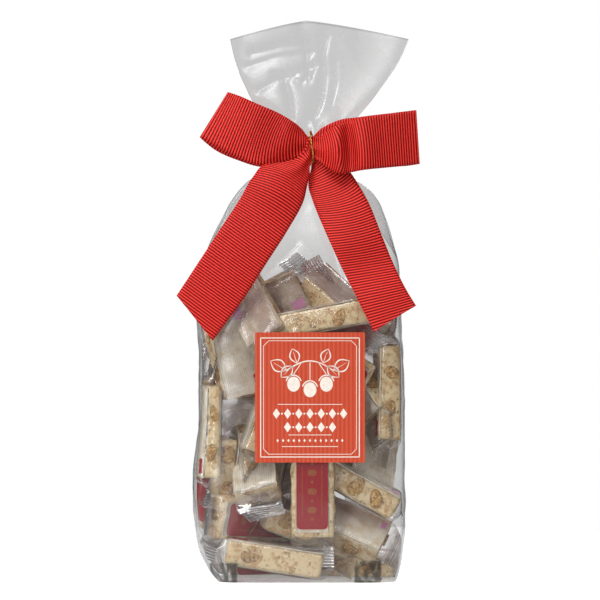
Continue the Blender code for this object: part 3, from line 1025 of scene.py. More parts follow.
@dataclass
class Contents:
    """The wrapped nougats in the bag: front ones as they show, the rest filled in behind."""

    film: FilmBag
    shape: SweetShape = field(default_factory=SweetShape)
    printing: WrapperPrint = WrapperPrint()
    kinds: int = 4
    margin: float = 1.1
    rounds: int = 160
    digits: int = 5
    """Digits kept while the sweets settle, so that every run gives the same places."""
    mauve: tuple = (0.15, 0.6, 95.0, 30.0)
    """Mauve of the wafers low in the bag, how much more higher up, where that starts and its reach."""
    nut_rings: tuple = ((0.0, 0.07), (0.35, 0.08), (0.65, 0.06), (0.88, 0.04), (1.0, -0.04), (1.02, -0.3))
    """Radius and height of each ring of a nut, as shares of its size."""
    nut_radius: Pair = (3.2, 4.8)
    nut_height: float = 2.2
    pull: Pair = (0.85, 0.03)
    give: Pair = (0.004, 0.6)
    give_growth: float = 1.2
    """How strongly a firm and a loose sweet are drawn to their place, how easily each gives way, and how
    much more easily each next firm one does."""
    sweets: tuple[Sweet, ...] = (
        Sweet((3.0, -16.0, 42.8), 90, 0, Shows.BAND, 0, 0),
        Sweet((-12.5, -9.5, 12.4), -9, 0, Shows.SIDE, 0, 1, (-0.62,)),
        Sweet((-25.5, -2.0, 31.8), -6, -38, Shows.BAND, 6, 2),
        Sweet((0.5, 0.0, 23.0), -22, -16, Shows.SIDE, 0, 3, (-0.66, 0.5)),
        Sweet((-18.2, -5.0, 54.5), 94, -48, Shows.WAFER, -12, 0),
        Sweet((-29.5, -2.0, 51.5), 100, -30, Shows.SIDE, 20, 1),
        Sweet((-41.2, -8.0, 44.0), 84, 4, Shows.OTHER_SIDE, 26, 2, (-0.1, 0.8)),
        Sweet((25.2, -11.0, 42.0), -29, 0, Shows.SIDE, 4, 3, (0.02, 0.6)),
        Sweet((18.6, -5.5, 26.5), -24, 6, Shows.WAFER, -42, 0),
        Sweet((42.4, -8.5, 88.4), 89, 0, Shows.SIDE, 8, 1, (-0.35, 0.5)),
        Sweet((25.0, -5.0, 96.0), -55, 10, Shows.WAFER, 40, 2),
        Sweet((-36.5, -12.0, 107.5), 104, 0, Shows.WAFER, 20, 3),
        Sweet((-40.6, -11.0, 70.5), 89, 0, Shows.SIDE, 6, 1),
        Sweet((-25.0, -10.0, 127.0), 119, -34, Shows.WAFER, -10, 2),
        Sweet((2.5, -6.5, 106.0), -41, 10, Shows.WAFER, 0, 0),
        Sweet((12.5, -12.0, 117.5), 11, 4, Shows.SIDE, -10, 1, (0.35,)),
        Sweet((-17.0, 2.0, 128.0), 28, 6, Shows.WAFER, 10, 3),
        Sweet((18.0, 2.0, 125.0), -42, 10, Shows.SIDE, 30, 2, (0.2,)),
        Sweet((-16.0, -10.0, 80.0), 70, 0, Shows.SIDE, 8, 0),
        Sweet((16.0, -8.0, 84.0), 60, 0, Shows.BAND, 8, 3),
        Sweet((34.0, 4.0, 62.0), 84, 0, Shows.WAFER, 14, 2),
        Sweet((-24.0, 13.5, 11.0), 4, 0, Shows.BAND, 0, 0, firm=False),
        Sweet((24.0, 10.5, 12.5), -6, 4, Shows.SIDE, 8, 1, firm=False),
        Sweet((-29.0, 15.0, 50.0), 78, 6, Shows.SIDE, -6, 2, firm=False),
        Sweet((6.0, 15.0, 48.0), 12, 5, Shows.WAFER, 0, 3, firm=False),
        Sweet((-6.0, 14.0, 78.0), -18, 6, Shows.BAND, 8, 1, firm=False),
        Sweet((28.0, 12.5, 88.0), 80, 7, Shows.SIDE, 10, 2, firm=False),
        Sweet((-28.0, 13.5, 104.0), 74, 8, Shows.BAND, -8, 3, firm=False),
    )

    def settled(self) -> tuple[np.ndarray, list[Matrix]]:
        """Moves the sweets apart where their boxes overlap, and into the bag.

        Returns:
            The middle of each sweet, and its rotation.
        """
        turns = [sweet.turn() for sweet in self.sweets]
        axes = np.array([np.array(turn) for turn in turns])
        shape = self.shape
        half = np.array([shape.length + shape.slack, shape.width + shape.slack, 2 * shape.half_thick()]) / 2
        signs = np.array([(x, y, z) for x in (-1, 1) for y in (-1, 1) for z in (-1, 1)])
        wanted = np.array([sweet.middle for sweet in self.sweets])
        middles = wanted.copy()
        firm = np.array([sweet.firm for sweet in self.sweets])
        pull = np.where(firm, *self.pull)[:, None]
        give = np.where(firm, self.give[0] * self.give_growth ** np.arange(len(firm)), self.give[1])
        for _ in range(self.rounds):
            push = pull * (wanted - middles)
            for i in range(len(middles)):
                for j in range(i + 1, len(middles)):
                    depth, way = self.overlap(middles[j] - middles[i], axes[i], axes[j], half)
                    total = give[i] + give[j]
                    push[i] -= 0.7 * depth * way * give[i] / total
                    push[j] += 0.7 * depth * way * give[j] / total
            middles = np.round(middles + push, self.digits)
            for i in range(len(middles)):
                corners = middles[i] + (signs * half) @ axes[i].T
                moved = np.round(self.film.hold(corners, self.margin) - corners, self.digits)
                strongest = np.abs(moved).argmax(axis=0)
                middles[i] += 0.5 * moved[strongest, range(3)]
        return middles, turns

    def overlap(self, apart: np.ndarray, first: np.ndarray, second: np.ndarray,
                half: np.ndarray) -> tuple[float, np.ndarray]:
        """How deep two boxes of the same size lie in each other.

        Args:
            apart: From the first box's middle to the second's.
            first: Axes of the first box, as columns.
            second: Axes of the second box, as columns.
            half: Half sizes of either box.

        Returns:
            The least depth, 0 where they are clear, and the way that parts them.
        """
        if np.linalg.norm(apart) > 2 * np.linalg.norm(half):
            return 0.0, apart
        crossed = np.cross(first.T[:, None, :], second.T[None, :, :]).reshape(-1, 3)
        lengths = np.linalg.norm(crossed, axis=1)
        tests = np.concatenate([first.T, second.T, crossed[lengths > 1e-3] / lengths[lengths > 1e-3, None]])
        reach = np.abs(tests @ first) @ half + np.abs(tests @ second) @ half
        gap = np.round(reach - np.abs(tests @ apart), self.digits)
        least = int(gap.argmin())
        if gap[least] <= 0:
            return 0.0, apart
        return float(gap[least]), tests[least] * (1 if tests[least] @ apart >= 0 else -1)

    def lay(self, name: str, slot: str, shapes: list[Object], layout: Layout, finish: Material) -> None:
        """Sets a shape at each place by Geometry Nodes, joins them and holds them inside the film.

        Args:
            name: Name of the joined piece.
            slot: The piece's slot, which is not used.
            shapes: One object for each kind, which are removed.
            layout: Where they lie.
            finish: The piece's material.
        """
        store = bpy.data.collections.new(name + "_shapes")
        for index, shape in enumerate(shapes):
            for holder in list(shape.users_collection):
                holder.objects.unlink(shape)
            shape.name = f"{name}_{index}"
            store.objects.link(shape)
        spots = Builder.piece(name + "_spots", layout.middles, [])
        Builder.values(spots, "turn", np.array([turn.to_euler() for turn in layout.turns]))
        Builder.values(spots, "size", layout.sizes)
        low, more, start, reach = self.mauve
        Builder.values(spots, "tone", low + more * smooth_step((layout.middles[:, 2] - start) / reach))
        picked = spots.data.attributes.new("kind", "INT", "POINT")
        picked.data.foreach_set("value", layout.kinds)
        tree = NodeTree("lay_" + name)
        chosen = tree.size("Shapes", "Collection", store)
        scale = tree.size("Scale", "Float", 1.0)
        source = tree.add("GeometryNodeCollectionInfo",
                          {"Collection": chosen, "Separate Children": True, "Reset Children": True})
        laid = tree.add("GeometryNodeInstanceOnPoints", {
            "Points": tree.source.outputs[0], "Instance": source.outputs[0], "Pick Instance": True,
            "Instance Index": tree.named("kind", "INT"), "Rotation": tree.named("turn", "FLOAT_VECTOR"),
            "Scale": tree.scaled(tree.named("size", "FLOAT_VECTOR"), scale)})
        tree.close(laid.outputs[0], finish)
        made = tree.applied(spots, name)
        for shape in shapes:
            bpy.data.objects.remove(shape)
        bpy.data.collections.remove(store)
        self.keep_inside(made)
        Builder.fit(made, slot, "bag")

    def keep_inside(self, made: Object) -> None:
        """Presses whatever sticks out of the film back inside it."""
        count = len(made.data.vertices)
        flat = np.empty(count * 3, np.float32)
        made.data.vertices.foreach_get("co", flat)
        points = flat.reshape(-1, 3).astype(float) / MM - CENTRE
        held = (self.film.hold(points, self.margin) + CENTRE) * MM
        made.data.vertices.foreach_set("co", held.astype(np.float32).ravel())
        made.data.update()

    def nut(self) -> Object:
        """A cut hazelnut, one millimetre in radius, lying in the XY plane with its cut face up."""
        rings, sides = self.nut_rings, 14
        angle = circle(sides)
        wobble = 1 + 0.09 * np.sin(3 * angle + 1) + 0.08 * np.cos(2 * angle)
        points, rim = [[(0, 0, rings[0][1])]], [np.zeros(1)]
        for radius, height in rings[1:]:
            edge = radius * wobble
            points.append(np.stack([edge * np.cos(angle), edge * np.sin(angle), height + 0 * angle], axis=-1))
            rim.append(np.full(sides, min(radius, 1.0)))
        stacked = np.concatenate([np.asarray(p, float) for p in points])
        faces = [(0, 1 + i, 1 + (i + 1) % sides) for i in range(sides)]
        faces += [tuple(int(n) + 1 for n in f) for f in grid_faces(len(rings) - 1, sides, True)[:, ::-1]]
        faces.append(tuple(range(1 + sides * (len(rings) - 2), 1 + sides * (len(rings) - 1)))[::-1])
        made = Builder.piece("nut", stacked, faces, placed=False)
        Builder.values(made, "rim", np.concatenate(rim))
        return made

    def nut_places(self, bars: Layout) -> Layout:
        """Spreads cut nuts over the narrow faces of each nougat bar."""
        rng = np.random.default_rng(21)
        half = np.array([self.shape.length, self.shape.width, self.shape.core]) / 2
        places, rotations, sizes = [], [], []
        for sweet, middle, turn in zip(self.sweets, bars.middles, bars.turns):
            spots = [(1, side, along) for side in (-1, 1) for along in sweet.nuts]
            spots += [(0, side, rng.uniform(-0.6, 0.6)) for side in (-1, 1)]
            for axis, side, along in spots:
                local = np.zeros(3)
                local[axis] = side * (half[axis] + 0.25)
                local[1 - axis] = along * (half[1 - axis] - 3.0)
                local[2] = rng.uniform(-1.4, 1.4)
                out = Vector((side, 0, 0) if axis == 0 else (0, side, 0))
                spin = Matrix.Rotation(rng.uniform(0, math.tau), 3, Vector((0, 0, 1)))
                rotations.append(turn @ out.to_track_quat("Z", "Y").to_matrix() @ spin)
                places.append(middle + np.array(turn) @ local)
                radius = rng.uniform(*self.nut_radius)
                sizes.append((radius, radius * rng.uniform(0.7, 1.0), self.nut_height))
        return Layout(np.array(places), rotations, [0] * len(places), np.array(sizes))

    def printed(self, kind: int) -> dict[str, list]:
        """The printed shapes of one kind of wrapper, by ink."""
        shape, sizes = self.shape, self.printing
        band = shape.rounded((0, 0), sizes.band, sizes.band_corner, 30, 12)
        marks, blocks, tags = [], [], []
        for step in range(-3, 4):
            size = sizes.dot if step % 2 else sizes.oval
            mark = shape.rounded((step * sizes.mark_step, 0), size, size[0] / 2 - 0.01, 6, 5)
            marks.append(shape.patch(mark, kind, 1, sizes.on_band))
        for side in (-1, 1):
            rule = shape.rounded((0, side * sizes.rule_height), sizes.rule, 0.1, 16, 2)
            marks.append(shape.patch(rule, kind, 1, sizes.on_band))
        for step in range(sizes.stripe_counts[kind % 2]):
            middle = (sizes.stripe_start - sizes.stripe_step * step, sizes.stripe_heights[kind // 2])
            stripe = shape.rounded(middle, sizes.stripe, 0.2, 4, 5)
            blocks.append(shape.patch(stripe, kind, -1, sizes.on_film))
        for step in range(sizes.tag_count * (kind % 2)):
            middle = (sizes.tag_start[0] + sizes.tag_step * step, sizes.tag_start[1])
            tag = shape.rounded(middle, sizes.tag, 1.1, 8, 5)
            tags.append(shape.patch(tag, kind, -1, sizes.on_film))
        return {"red": [shape.patch(band, kind, 1, sizes.on_film), *tags], "gold": marks, "magenta": blocks}

    def build(self) -> None:
        """Makes every sweet: nougat, nuts, wafers, wrappers and their print."""
        middles, turns = self.settled()
        shape, every, count = self.shape, range(self.kinds), len(self.sweets)
        rng = np.random.default_rng(8)
        sizes = np.ones((count, 3)) * rng.uniform(0.96, 1.03, (count, 1))
        bars = Layout(middles, turns, [sweet.kind for sweet in self.sweets], sizes)
        cores = [Builder.piece("core", *shape.nougat(kind), placed=False) for kind in every]
        self.lay("nougat_bars", "nougat", cores, bars, NougatFinish().material())
        self.lay("hazelnuts", "nougat", [self.nut()], self.nut_places(bars), HazelnutFinish().material())
        sheets, wraps = [], []
        for kind in every:
            points, faces = Builder.join([shape.sheet(side, kind) for side in (1, -1)])
            sheets.append(Builder.piece("sheet", points, faces, placed=False))
            Builder.values(sheets[-1], "sheet", points * MM)
        self.lay("wafers", "nougat", sheets, bars, WaferFinish().material())
        for kind in every:
            points, faces, crimped = shape.wrapper(kind)
            wraps.append(Builder.piece("wrap", points, faces, placed=False))
            Builder.values(wraps[-1], "layers", crimped)
        film = ClearFilm("sweet_film", clear=(0.965, 0.96, 0.955), dense=(0.79, 0.75, 0.745), face_on=0.07,
                         grazing=0.7, folded=0.3, haze=0.16, smoothest=0.04, lumps=385.0, depth=0.00026)
        self.lay("wrappers", "film", wraps, bars, film.material())
        inks = {
            "red": PrintFinish("red_print", srgb(158, 8, 22), srgb(138, 6, 18)),
            "gold": PrintFinish("gold_print", srgb(150, 96, 50), srgb(170, 60, 44), 0.4, 0.3),
            "magenta": PrintFinish("magenta_print", srgb(224, 150, 204), srgb(206, 120, 180)),
        }
        for ink, finish in inks.items():
            shapes = [Builder.join(self.printed(kind)[ink]) for kind in every]
            prints = [Builder.piece(ink, *joined, placed=False) for joined in shapes]
            self.lay(ink + "_prints", "wrapper_print", prints, bars, finish.material())


@dataclass
class Bow:
    """The bow: one strip of grosgrain that runs left tail, right loop, left loop, right tail."""

    thickness: float = 0.5
    width: float = 26.0
    rib_pitch: float = 1.28
    rib_height: float = 0.2
    steps_per_rib: int = 7
    across: int = 14
    ply_step: float = 1.9
    knot_top: Pair = (3.6, 207.0)
    knot_bottom: Pair = (4.4, 197.8)
    knot_front: float = -13.0
    pleats: int = 3
    pleat_most: float = 0.7
    left_cut: float = 7.0
    right_cut: float = 5.5
    left_tail: tuple = (
        (-61.9, -26.4, 128.2, -41.4, -27.4, 113.0, 0.4, 0.0),
        (-47.5, -27.4, 150.1, -25.5, -27.6, 134.9, 0.6, 0.0),
        (-38.0, -27.4, 164.6, -16.3, -27.6, 149.3, 0.8, 0.0),
        (-28.8, -24.8, 178.6, -6.6, -25.6, 164.4, 1.0, 0.6),
        (-22.6, -25.2, 189.0, 0.5, -24.4, 177.6, 2.6, 2.0),
        (-17.4, -21.8, 194.4, 2.3, -20.6, 185.1, 3.0, 2.6),
        (-8.1, -19.6, 195.8, 3.4, -18.2, 189.8, 2.6, 1.6),
        (-2.2, -17.4, 198.0, 3.5, -16.4, 193.4, 1.4, 0.6),
        (1.4, -15.6, 201.6, 4.2, -15.0, 195.4, 0.6, 0.2),
    )
    """Rows across the strip: upper edge X, Y and Z, lower edge X, Y and Z, crown, and lead of the ribs."""
    right_loop: tuple = (
        (8.8, -16.8, 207.4, 9.0, -16.6, 195.4, 0.4, 0.6),
        (12.3, -20.0, 210.4, 13.4, -19.4, 192.0, 2.4, 1.8),
        (16.4, -23.2, 212.9, 18.2, -22.8, 190.5, 2.8, 2.8),
        (20.6, -19.8, 214.4, 22.6, -20.6, 191.0, -0.6, 2.2),
        (26.0, -24.2, 215.8, 28.5, -24.6, 192.2, 1.8, 1.0),
        (37.0, -20.6, 217.8, 39.0, -21.0, 193.2, 0.8, 0.0),
        (48.5, -15.6, 219.4, 50.0, -15.8, 194.2, 0.2, 0.0),
        (53.0, -13.4, 219.9, 54.6, -13.4, 194.8, 0.0, 0.0),
        (48.5, -12.0, 219.2, 49.6, -12.0, 194.0, -0.2, 0.0),
        (37.0, -13.4, 218.0, 38.0, -13.4, 193.4, -0.4, 0.0),
        (26.0, -15.0, 216.6, 26.0, -15.2, 192.2, -0.2, 0.0),
        (17.0, -15.4, 215.2, 15.5, -15.6, 192.8, 0.0, 0.0),
        (9.0, -14.2, 211.4, 8.2, -14.2, 195.8, 0.2, 0.0),
    )
    left_loop: tuple = (
        (-0.4, -12.6, 211.4, 0.6, -12.4, 198.8, 0.0, 0.0),
        (-4.6, -16.6, 214.8, -8.0, -14.2, 196.0, 1.0, 1.6),
        (-10.6, -17.6, 218.4, -18.6, -19.6, 194.2, -0.6, 1.8),
        (-20.5, -19.4, 222.7, -30.0, -19.8, 198.0, 1.0, 0.3),
        (-30.2, -17.8, 226.9, -41.0, -18.0, 203.6, 0.4, 0.0),
        (-34.4, -15.4, 228.1, -47.4, -15.4, 207.2, 0.0, 0.0),
        (-30.5, -13.6, 225.6, -42.0, -13.8, 202.4, -0.2, 0.0),
        (-20.5, -12.4, 221.0, -30.0, -12.8, 196.6, -0.4, 0.0),
        (-10.5, -11.6, 216.2, -16.5, -12.0, 193.4, -0.4, 0.0),
        (-3.0, -10.4, 211.6, -4.0, -10.6, 196.8, 0.0, 0.0),
    )
    right_tail: tuple = (
        (9.4, -9.9, 204.8, 4.6, -9.9, 194.6, 0.0, 0.0),
        (15.0, -11.3, 200.0, 3.6, -11.6, 189.8, 0.2, 0.6),
        (20.5, -13.2, 193.6, 3.0, -14.6, 184.4, 0.5, 1.6),
        (25.4, -16.0, 186.6, 4.8, -17.8, 178.4, 1.0, 2.2),
        (30.3, -20.2, 178.0, 7.0, -21.4, 172.5, 1.6, 1.8),
        (36.4, -23.4, 163.3, 13.0, -25.6, 158.6, 0.6, 0.8),
        (42.0, -22.2, 149.6, 18.9, -25.8, 145.9, -0.4, 0.2),
        (47.5, -25.0, 138.0, 25.2, -27.2, 133.4, 1.2, 0.0),
        (55.6, -26.0, 124.9, 33.3, -27.6, 117.2, 0.4, 0.0),
    )

    def knot(self, ply: int) -> tuple:
        """The row where a ply of the strip is pinched under the wire."""
        depth = self.knot_front + self.ply_step * ply
        (top_x, top_z), (bottom_x, bottom_z) = self.knot_top, self.knot_bottom
        return (top_x, depth, top_z, bottom_x, depth, bottom_z, 0.0, 0.0)

    def rows(self) -> np.ndarray:
        """Every row of the strip, from the end of the left tail to the end of the right one."""
        return np.array([*self.left_tail, self.knot(0), *self.right_loop, self.knot(1),
                         *self.left_loop, self.knot(2), *self.right_tail])

    def strip(self) -> tuple[np.ndarray, np.ndarray, np.ndarray]:
        """The middle surface of the strip.

        Returns:
            Points in rows across the strip, its outward direction at each, and the way along of each row.
        """
        rows = self.rows()
        middle = (rows[:, :3] + rows[:, 3:6]) / 2
        way = arc(middle)
        fine = np.linspace(0, way[-1], 5000)
        smooth = hermite(fine, way, rows)
        centre = (smooth[:, :3] + smooth[:, 3:6]) / 2
        true_way = arc(centre)
        share = np.linspace(0, 1, self.across + 1)
        upper, lower = smooth[:, None, :3], smooth[:, None, 3:6]
        crown, lead = smooth[:, 6:7], smooth[:, 7]
        chord = np.linalg.norm(smooth[:, :3] - smooth[:, 3:6], axis=1)[:, None]
        pleat = self.pleat_most * smooth_step(2 * (1 - chord / self.width - 0.1))
        sheet = lower + (upper - lower) * share[None, :, None]
        sheet[..., 1] -= crown * 4 * share * (1 - share)
        sheet[..., 1] -= pleat * np.cos(self.pleats * math.pi * (share - 0.5))
        count = int(round(true_way[-1] / self.rib_pitch * self.steps_per_rib))
        along = np.linspace(0, true_way[-1], count)
        points = np.empty((count, self.across + 1, 3))
        for column, at in enumerate(share):
            drift = np.interp(along, true_way, lead) * (4 * at * (1 - at) - 0.5)
            start, end = self.left_cut * at, true_way[-1] - self.right_cut * at
            place = np.clip(along + drift, start, end)
            for axis in range(3):
                points[:, column, axis] = np.interp(place, true_way, sheet[:, column, axis])
        length_way = np.gradient(hermite(along, way * true_way[-1] / way[-1], rows)[:, :3], axis=0)
        width_way = points[:, -1] - points[:, 0]
        ahead = np.gradient(points, axis=0)
        flat = np.linalg.norm(ahead, axis=-1) < 1e-4
        ahead[flat] = np.broadcast_to(length_way[:, None, :], ahead.shape)[flat]
        out = np.cross(ahead, np.gradient(points, axis=1) + 1e-9 * width_way[:, None, :])
        return points, unit(out), along

    def ribbed(self) -> NodeTree:
        """The tree that raises the ribs on both faces of the strip."""
        tree = NodeTree("grosgrain_ribs")
        pitch = tree.size("Rib pitch", "Float", self.rib_pitch * MM)
        height = tree.size("Rib height", "Float", self.rib_height * MM)
        turns = tree.math("DIVIDE", tree.named("along", "FLOAT"), pitch)
        wave = tree.math("COSINE", tree.math("MULTIPLY", turns, math.tau))
        rib = tree.math("MULTIPLY_ADD", wave, 0.5, 0.5)
        kept = {"Geometry": tree.source.outputs[0], "Name": "rib", "Value": rib}
        stored = tree.add("GeometryNodeStoreNamedAttribute", kept, data_type="FLOAT", domain="POINT")
        offset = tree.scaled(tree.named("outward", "FLOAT_VECTOR"), tree.math("MULTIPLY", rib, height))
        raised = tree.add("GeometryNodeSetPosition", {"Geometry": stored.outputs[0], "Offset": offset})
        tree.close(raised.outputs[0], GrosgrainFinish().material())
        return tree

    def build(self) -> None:
        """Makes the closed strip, raises its ribs, and puts it in place of the plain one."""
        points, out, along = self.strip()
        half = self.thickness / 2
        front, back = points - out * half, points + out * half
        loop = np.concatenate([front, back[:, ::-1]], axis=1)
        outward = np.concatenate([-out, out[:, ::-1]], axis=1)
        rows, columns = loop.shape[:2]
        faces = grid_faces(rows, columns, True).tolist()
        faces += [list(range(columns))[::-1], list(range((rows - 1) * columns, rows * columns))]
        ribbon = Builder.piece("ribbon_strip", loop.reshape(-1, 3), faces)
        Builder.values(ribbon, "along", np.repeat(along, columns) * MM)
        Builder.values(ribbon, "outward", outward.reshape(-1, 3))
        made = self.ribbed().applied(ribbon, "grosgrain_bow")
        shape = bmesh.new()
        shape.from_mesh(made.data)
        bmesh.ops.remove_doubles(shape, verts=shape.verts, dist=1e-6)
        bmesh.ops.dissolve_degenerate(shape, edges=shape.edges, dist=1e-7)
        bmesh.ops.recalc_face_normals(shape, faces=shape.faces)
        shape.to_mesh(made.data)
        shape.free()
        Builder.fit(made, "ribbon_cloth", "ribbon")


@dataclass
class Label:
    """The card on the front, with its pinstripes and a raised ornament in white."""

    lift: float = 0.05
    frames: tuple = ((2.6, 0.0, 0.45), (3.9, 2.4, 0.25))
    """Distance from the card's edge, notch of the corners and width of each frame."""
    leaves: tuple = (
        ((-11, 12.6), 2.6, 8.5), ((11, 12.6), 0.55, 8.5), ((-6, 16.0), 1.9, 7.0),
        ((6, 16.0), 1.2, 7.0), ((-8, 14.6), 3.9, 7.5), ((8, 14.6), -0.75, 7.5),
    )
    """Foot, direction and length of each leaf."""
    nuts: tuple[Pair, ...] = ((-7.6, 6.2), (7.6, 6.2), (0.0, 3.6))
    lozenges: tuple = ((-7.5, 7, 5.2, (1.7, 2.4)), (-13.8, 5, 5.2, (1.7, 2.4)), (-20.0, 13, 2.5, (0.55, 0.8)))
    """Height, number, step and radii of each row."""
    rules: tuple[Pair, ...] = ((-3.2, 15.0), (-17.4, 10.0), (-22.8, 13.0))
    """Height and half length of each rule."""

    def build(self) -> None:
        """Dresses the card and lays the ornament on it."""
        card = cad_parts["label"]
        card.data.materials.clear()
        card.data.materials.append(CardFinish().material())
        low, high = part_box("label")
        size = (high - low) / MM
        middle = (low + high) / 2 / MM
        points, faces = Builder.join([*self.border(size), *self.sprig(), *self.rows_of_lozenges()])
        front = low.y / MM - self.lift
        x, z = points.T
        placed = np.column_stack([x + middle.x, np.full(len(x), front), z + middle.z])
        made = Builder.piece("label_ornament", placed, faces, placed=False)
        white = PrintFinish("white_print", srgb(244, 236, 226), srgb(232, 214, 200), 0.5)
        made.data.materials.append(white.material())
        Builder.fit(made, "label_card")

    @staticmethod
    def bar(start: Pair, end: Pair, width: float) -> Shape:
        """A straight rule between two places on the card."""
        a, b = np.array(start), np.array(end)
        side = np.array([a[1] - b[1], b[0] - a[0]]) / np.linalg.norm(b - a) * width / 2
        return np.array([a + side, a - side, b - side, b + side]), [(0, 1, 2, 3)]

    @staticmethod
    def curve(points: np.ndarray, widths: np.ndarray) -> Shape:
        """A rule that follows a line of places and may swell."""
        ahead = np.gradient(points, axis=0)
        out = unit(np.stack([-ahead[:, 1], ahead[:, 0]], axis=-1)) * widths[:, None] / 2
        edges = np.concatenate([points + out, points - out])
        count = len(points)
        return edges, [(i, i + count, i + 1 + count, i + 1) for i in range(count - 1)]

    @staticmethod
    def disc(middle: Pair, radii: Pair, sides: int = 20) -> Shape:
        """A filled oval, or a lozenge with four sides."""
        angle = circle(sides)
        oval = np.stack([radii[0] * np.cos(angle), radii[1] * np.sin(angle)], axis=-1)
        return oval + np.array(middle), [tuple(range(sides))]

    def border(self, size: Vector) -> list:
        """Two fine frames, the inner with notched corners."""
        shapes = []
        for inset, notch, width in self.frames:
            x, z = size.x / 2 - inset, size.z / 2 - inset
            corners = []
            for sx, sz in ((-1, -1), (1, -1), (1, 1), (-1, 1)):
                pair = [(sx * (x - notch), sz * z), (sx * x, sz * (z - notch))]
                corners += pair if sx * sz < 0 else pair[::-1]
            shapes += [self.bar(a, b, width) for a, b in zip(corners, corners[1:] + corners[:1]) if a != b]
        return shapes

    def leaf(self, foot: Pair, turn: float, length: float) -> list:
        """A leaf outline with a vein, from its foot."""
        t = np.linspace(0, 1, 14)
        way = np.array([math.cos(turn), math.sin(turn)])
        side = np.array([-way[1], way[0]])
        shapes = []
        for bow in (-0.32, 0.32):
            swell = np.outer(np.sin(t * math.pi) * bow * length, side)
            line = np.array(foot) + np.outer(t * length, way) + swell
            shapes.append(self.curve(line, 0.22 + 0.4 * np.sin(t * math.pi)))
        vein = np.array(foot) + np.outer(t * length * 0.8, way)
        shapes.append(self.curve(vein, 0.32 - 0.2 * t))
        return shapes

    def sprig(self) -> list:
        """Three hazelnuts on a stalk with leaves, in the middle of the card."""
        shapes = []
        t = np.linspace(0, 1, 20)
        stalk = np.stack([-11 + 22 * t, 12.5 + 4.5 * np.sin(t * math.pi)], axis=-1)
        shapes.append(self.curve(stalk, 0.7 - 0.25 * t))
        for foot, turn, length in self.leaves:
            shapes += self.leaf(foot, turn, length)
        for x, z in self.nuts:
            shapes.append(self.bar((x * 0.5, 16.4), (x, z + 4.6), 0.35))
            shapes.append(self.disc((x, z), (3.0, 3.5)))
            angle = np.linspace(math.radians(20), math.radians(160), 12)
            cap = np.stack([x + 3.7 * np.cos(angle), z + 4.2 * np.sin(angle)], axis=-1)
            shapes.append(self.curve(cap, np.full(12, 0.55)))
        return shapes

    def rows_of_lozenges(self) -> list:
        """Rules and rows of lozenges and dots that fill the lower half."""
        shapes = []
        for z, count, step, radii in self.lozenges:
            for index in range(count):
                x = (index - (count - 1) / 2) * step
                shapes.append(self.disc((x, z), radii, sides=4))
                if index and radii[0] > 1:
                    shapes.append(self.disc((x - step / 2, z), (0.45, 0.45), sides=10))
        for z, half in self.rules:
            shapes.append(self.bar((-half, z), (half, z), 0.3))
        return shapes


@dataclass
class WireTie:
    """The gold wire: two strands twisted together round the bow and the neck."""

    strand: float = 0.5
    twist: float = 2.6
    orbit: float = 0.24
    sides: int = 10
    route: tuple = (
        (3.4, 6.6, 203.6), (9.2, 5.6, 203.4), (12.9, 0.6, 203.2), (10.4, -4.8, 203.6), (7.0, -6.7, 204.8),
        (5.0, -7.0, 207.4), (4.2, -8.6, 209.4), (3.9, -12.0, 209.8), (3.8, -15.2, 208.0),
        (4.3, -15.6, 204.0), (4.9, -15.6, 200.2), (5.1, -14.7, 196.9), (4.8, -12.8, 195.6),
        (4.1, -11.2, 195.2), (3.5, -9.4, 195.2),
        (3.1, -7.9, 196.6), (2.0, -6.8, 199.4), (-2.0, -5.6, 201.2), (-4.4, 0.6, 201.6), (-0.8, 5.6, 201.8),
        (3.4, 6.9, 202.0), (4.0, 8.2, 201.0), (3.6, 9.8, 199.0), (4.2, 11.2, 196.4), (3.8, 12.4, 194.0),
    )

    def build(self) -> None:
        """Makes both strands in place of the plain wire."""
        route = np.array(self.route)
        way = arc(route)
        along = np.linspace(0, way[-1], 420)
        line = hermite(along, way, route)
        ahead = unit(np.gradient(line, axis=0))
        side = np.empty_like(line)
        last = np.array([0.0, 0.0, 1.0])
        for index, forward in enumerate(ahead):
            last = last - forward * (last @ forward)
            last /= np.linalg.norm(last)
            side[index] = last
        lift = np.cross(ahead, side)
        shapes = []
        angle = circle(self.sides)
        for start in (0.0, math.pi):
            turn = along / self.twist * math.tau + start
            centre = line + self.orbit * (side * np.cos(turn)[:, None] + lift * np.sin(turn)[:, None])
            ring = side[:, None] * np.cos(angle)[None, :, None] + lift[:, None] * np.sin(angle)[None, :, None]
            points = (centre[:, None] + self.strand / 2 * ring).reshape(-1, 3)
            faces = grid_faces(len(line), self.sides, True).tolist()
            faces += [list(range(self.sides))[::-1], list(range(len(points) - self.sides, len(points)))]
            shapes.append((points, faces))
        made = Builder.piece("twisted_wire", *Builder.join(shapes))
        made.data.materials.append(GoldWireFinish().material())
        Builder.fit(made, "gold_wire", "wire_tie")


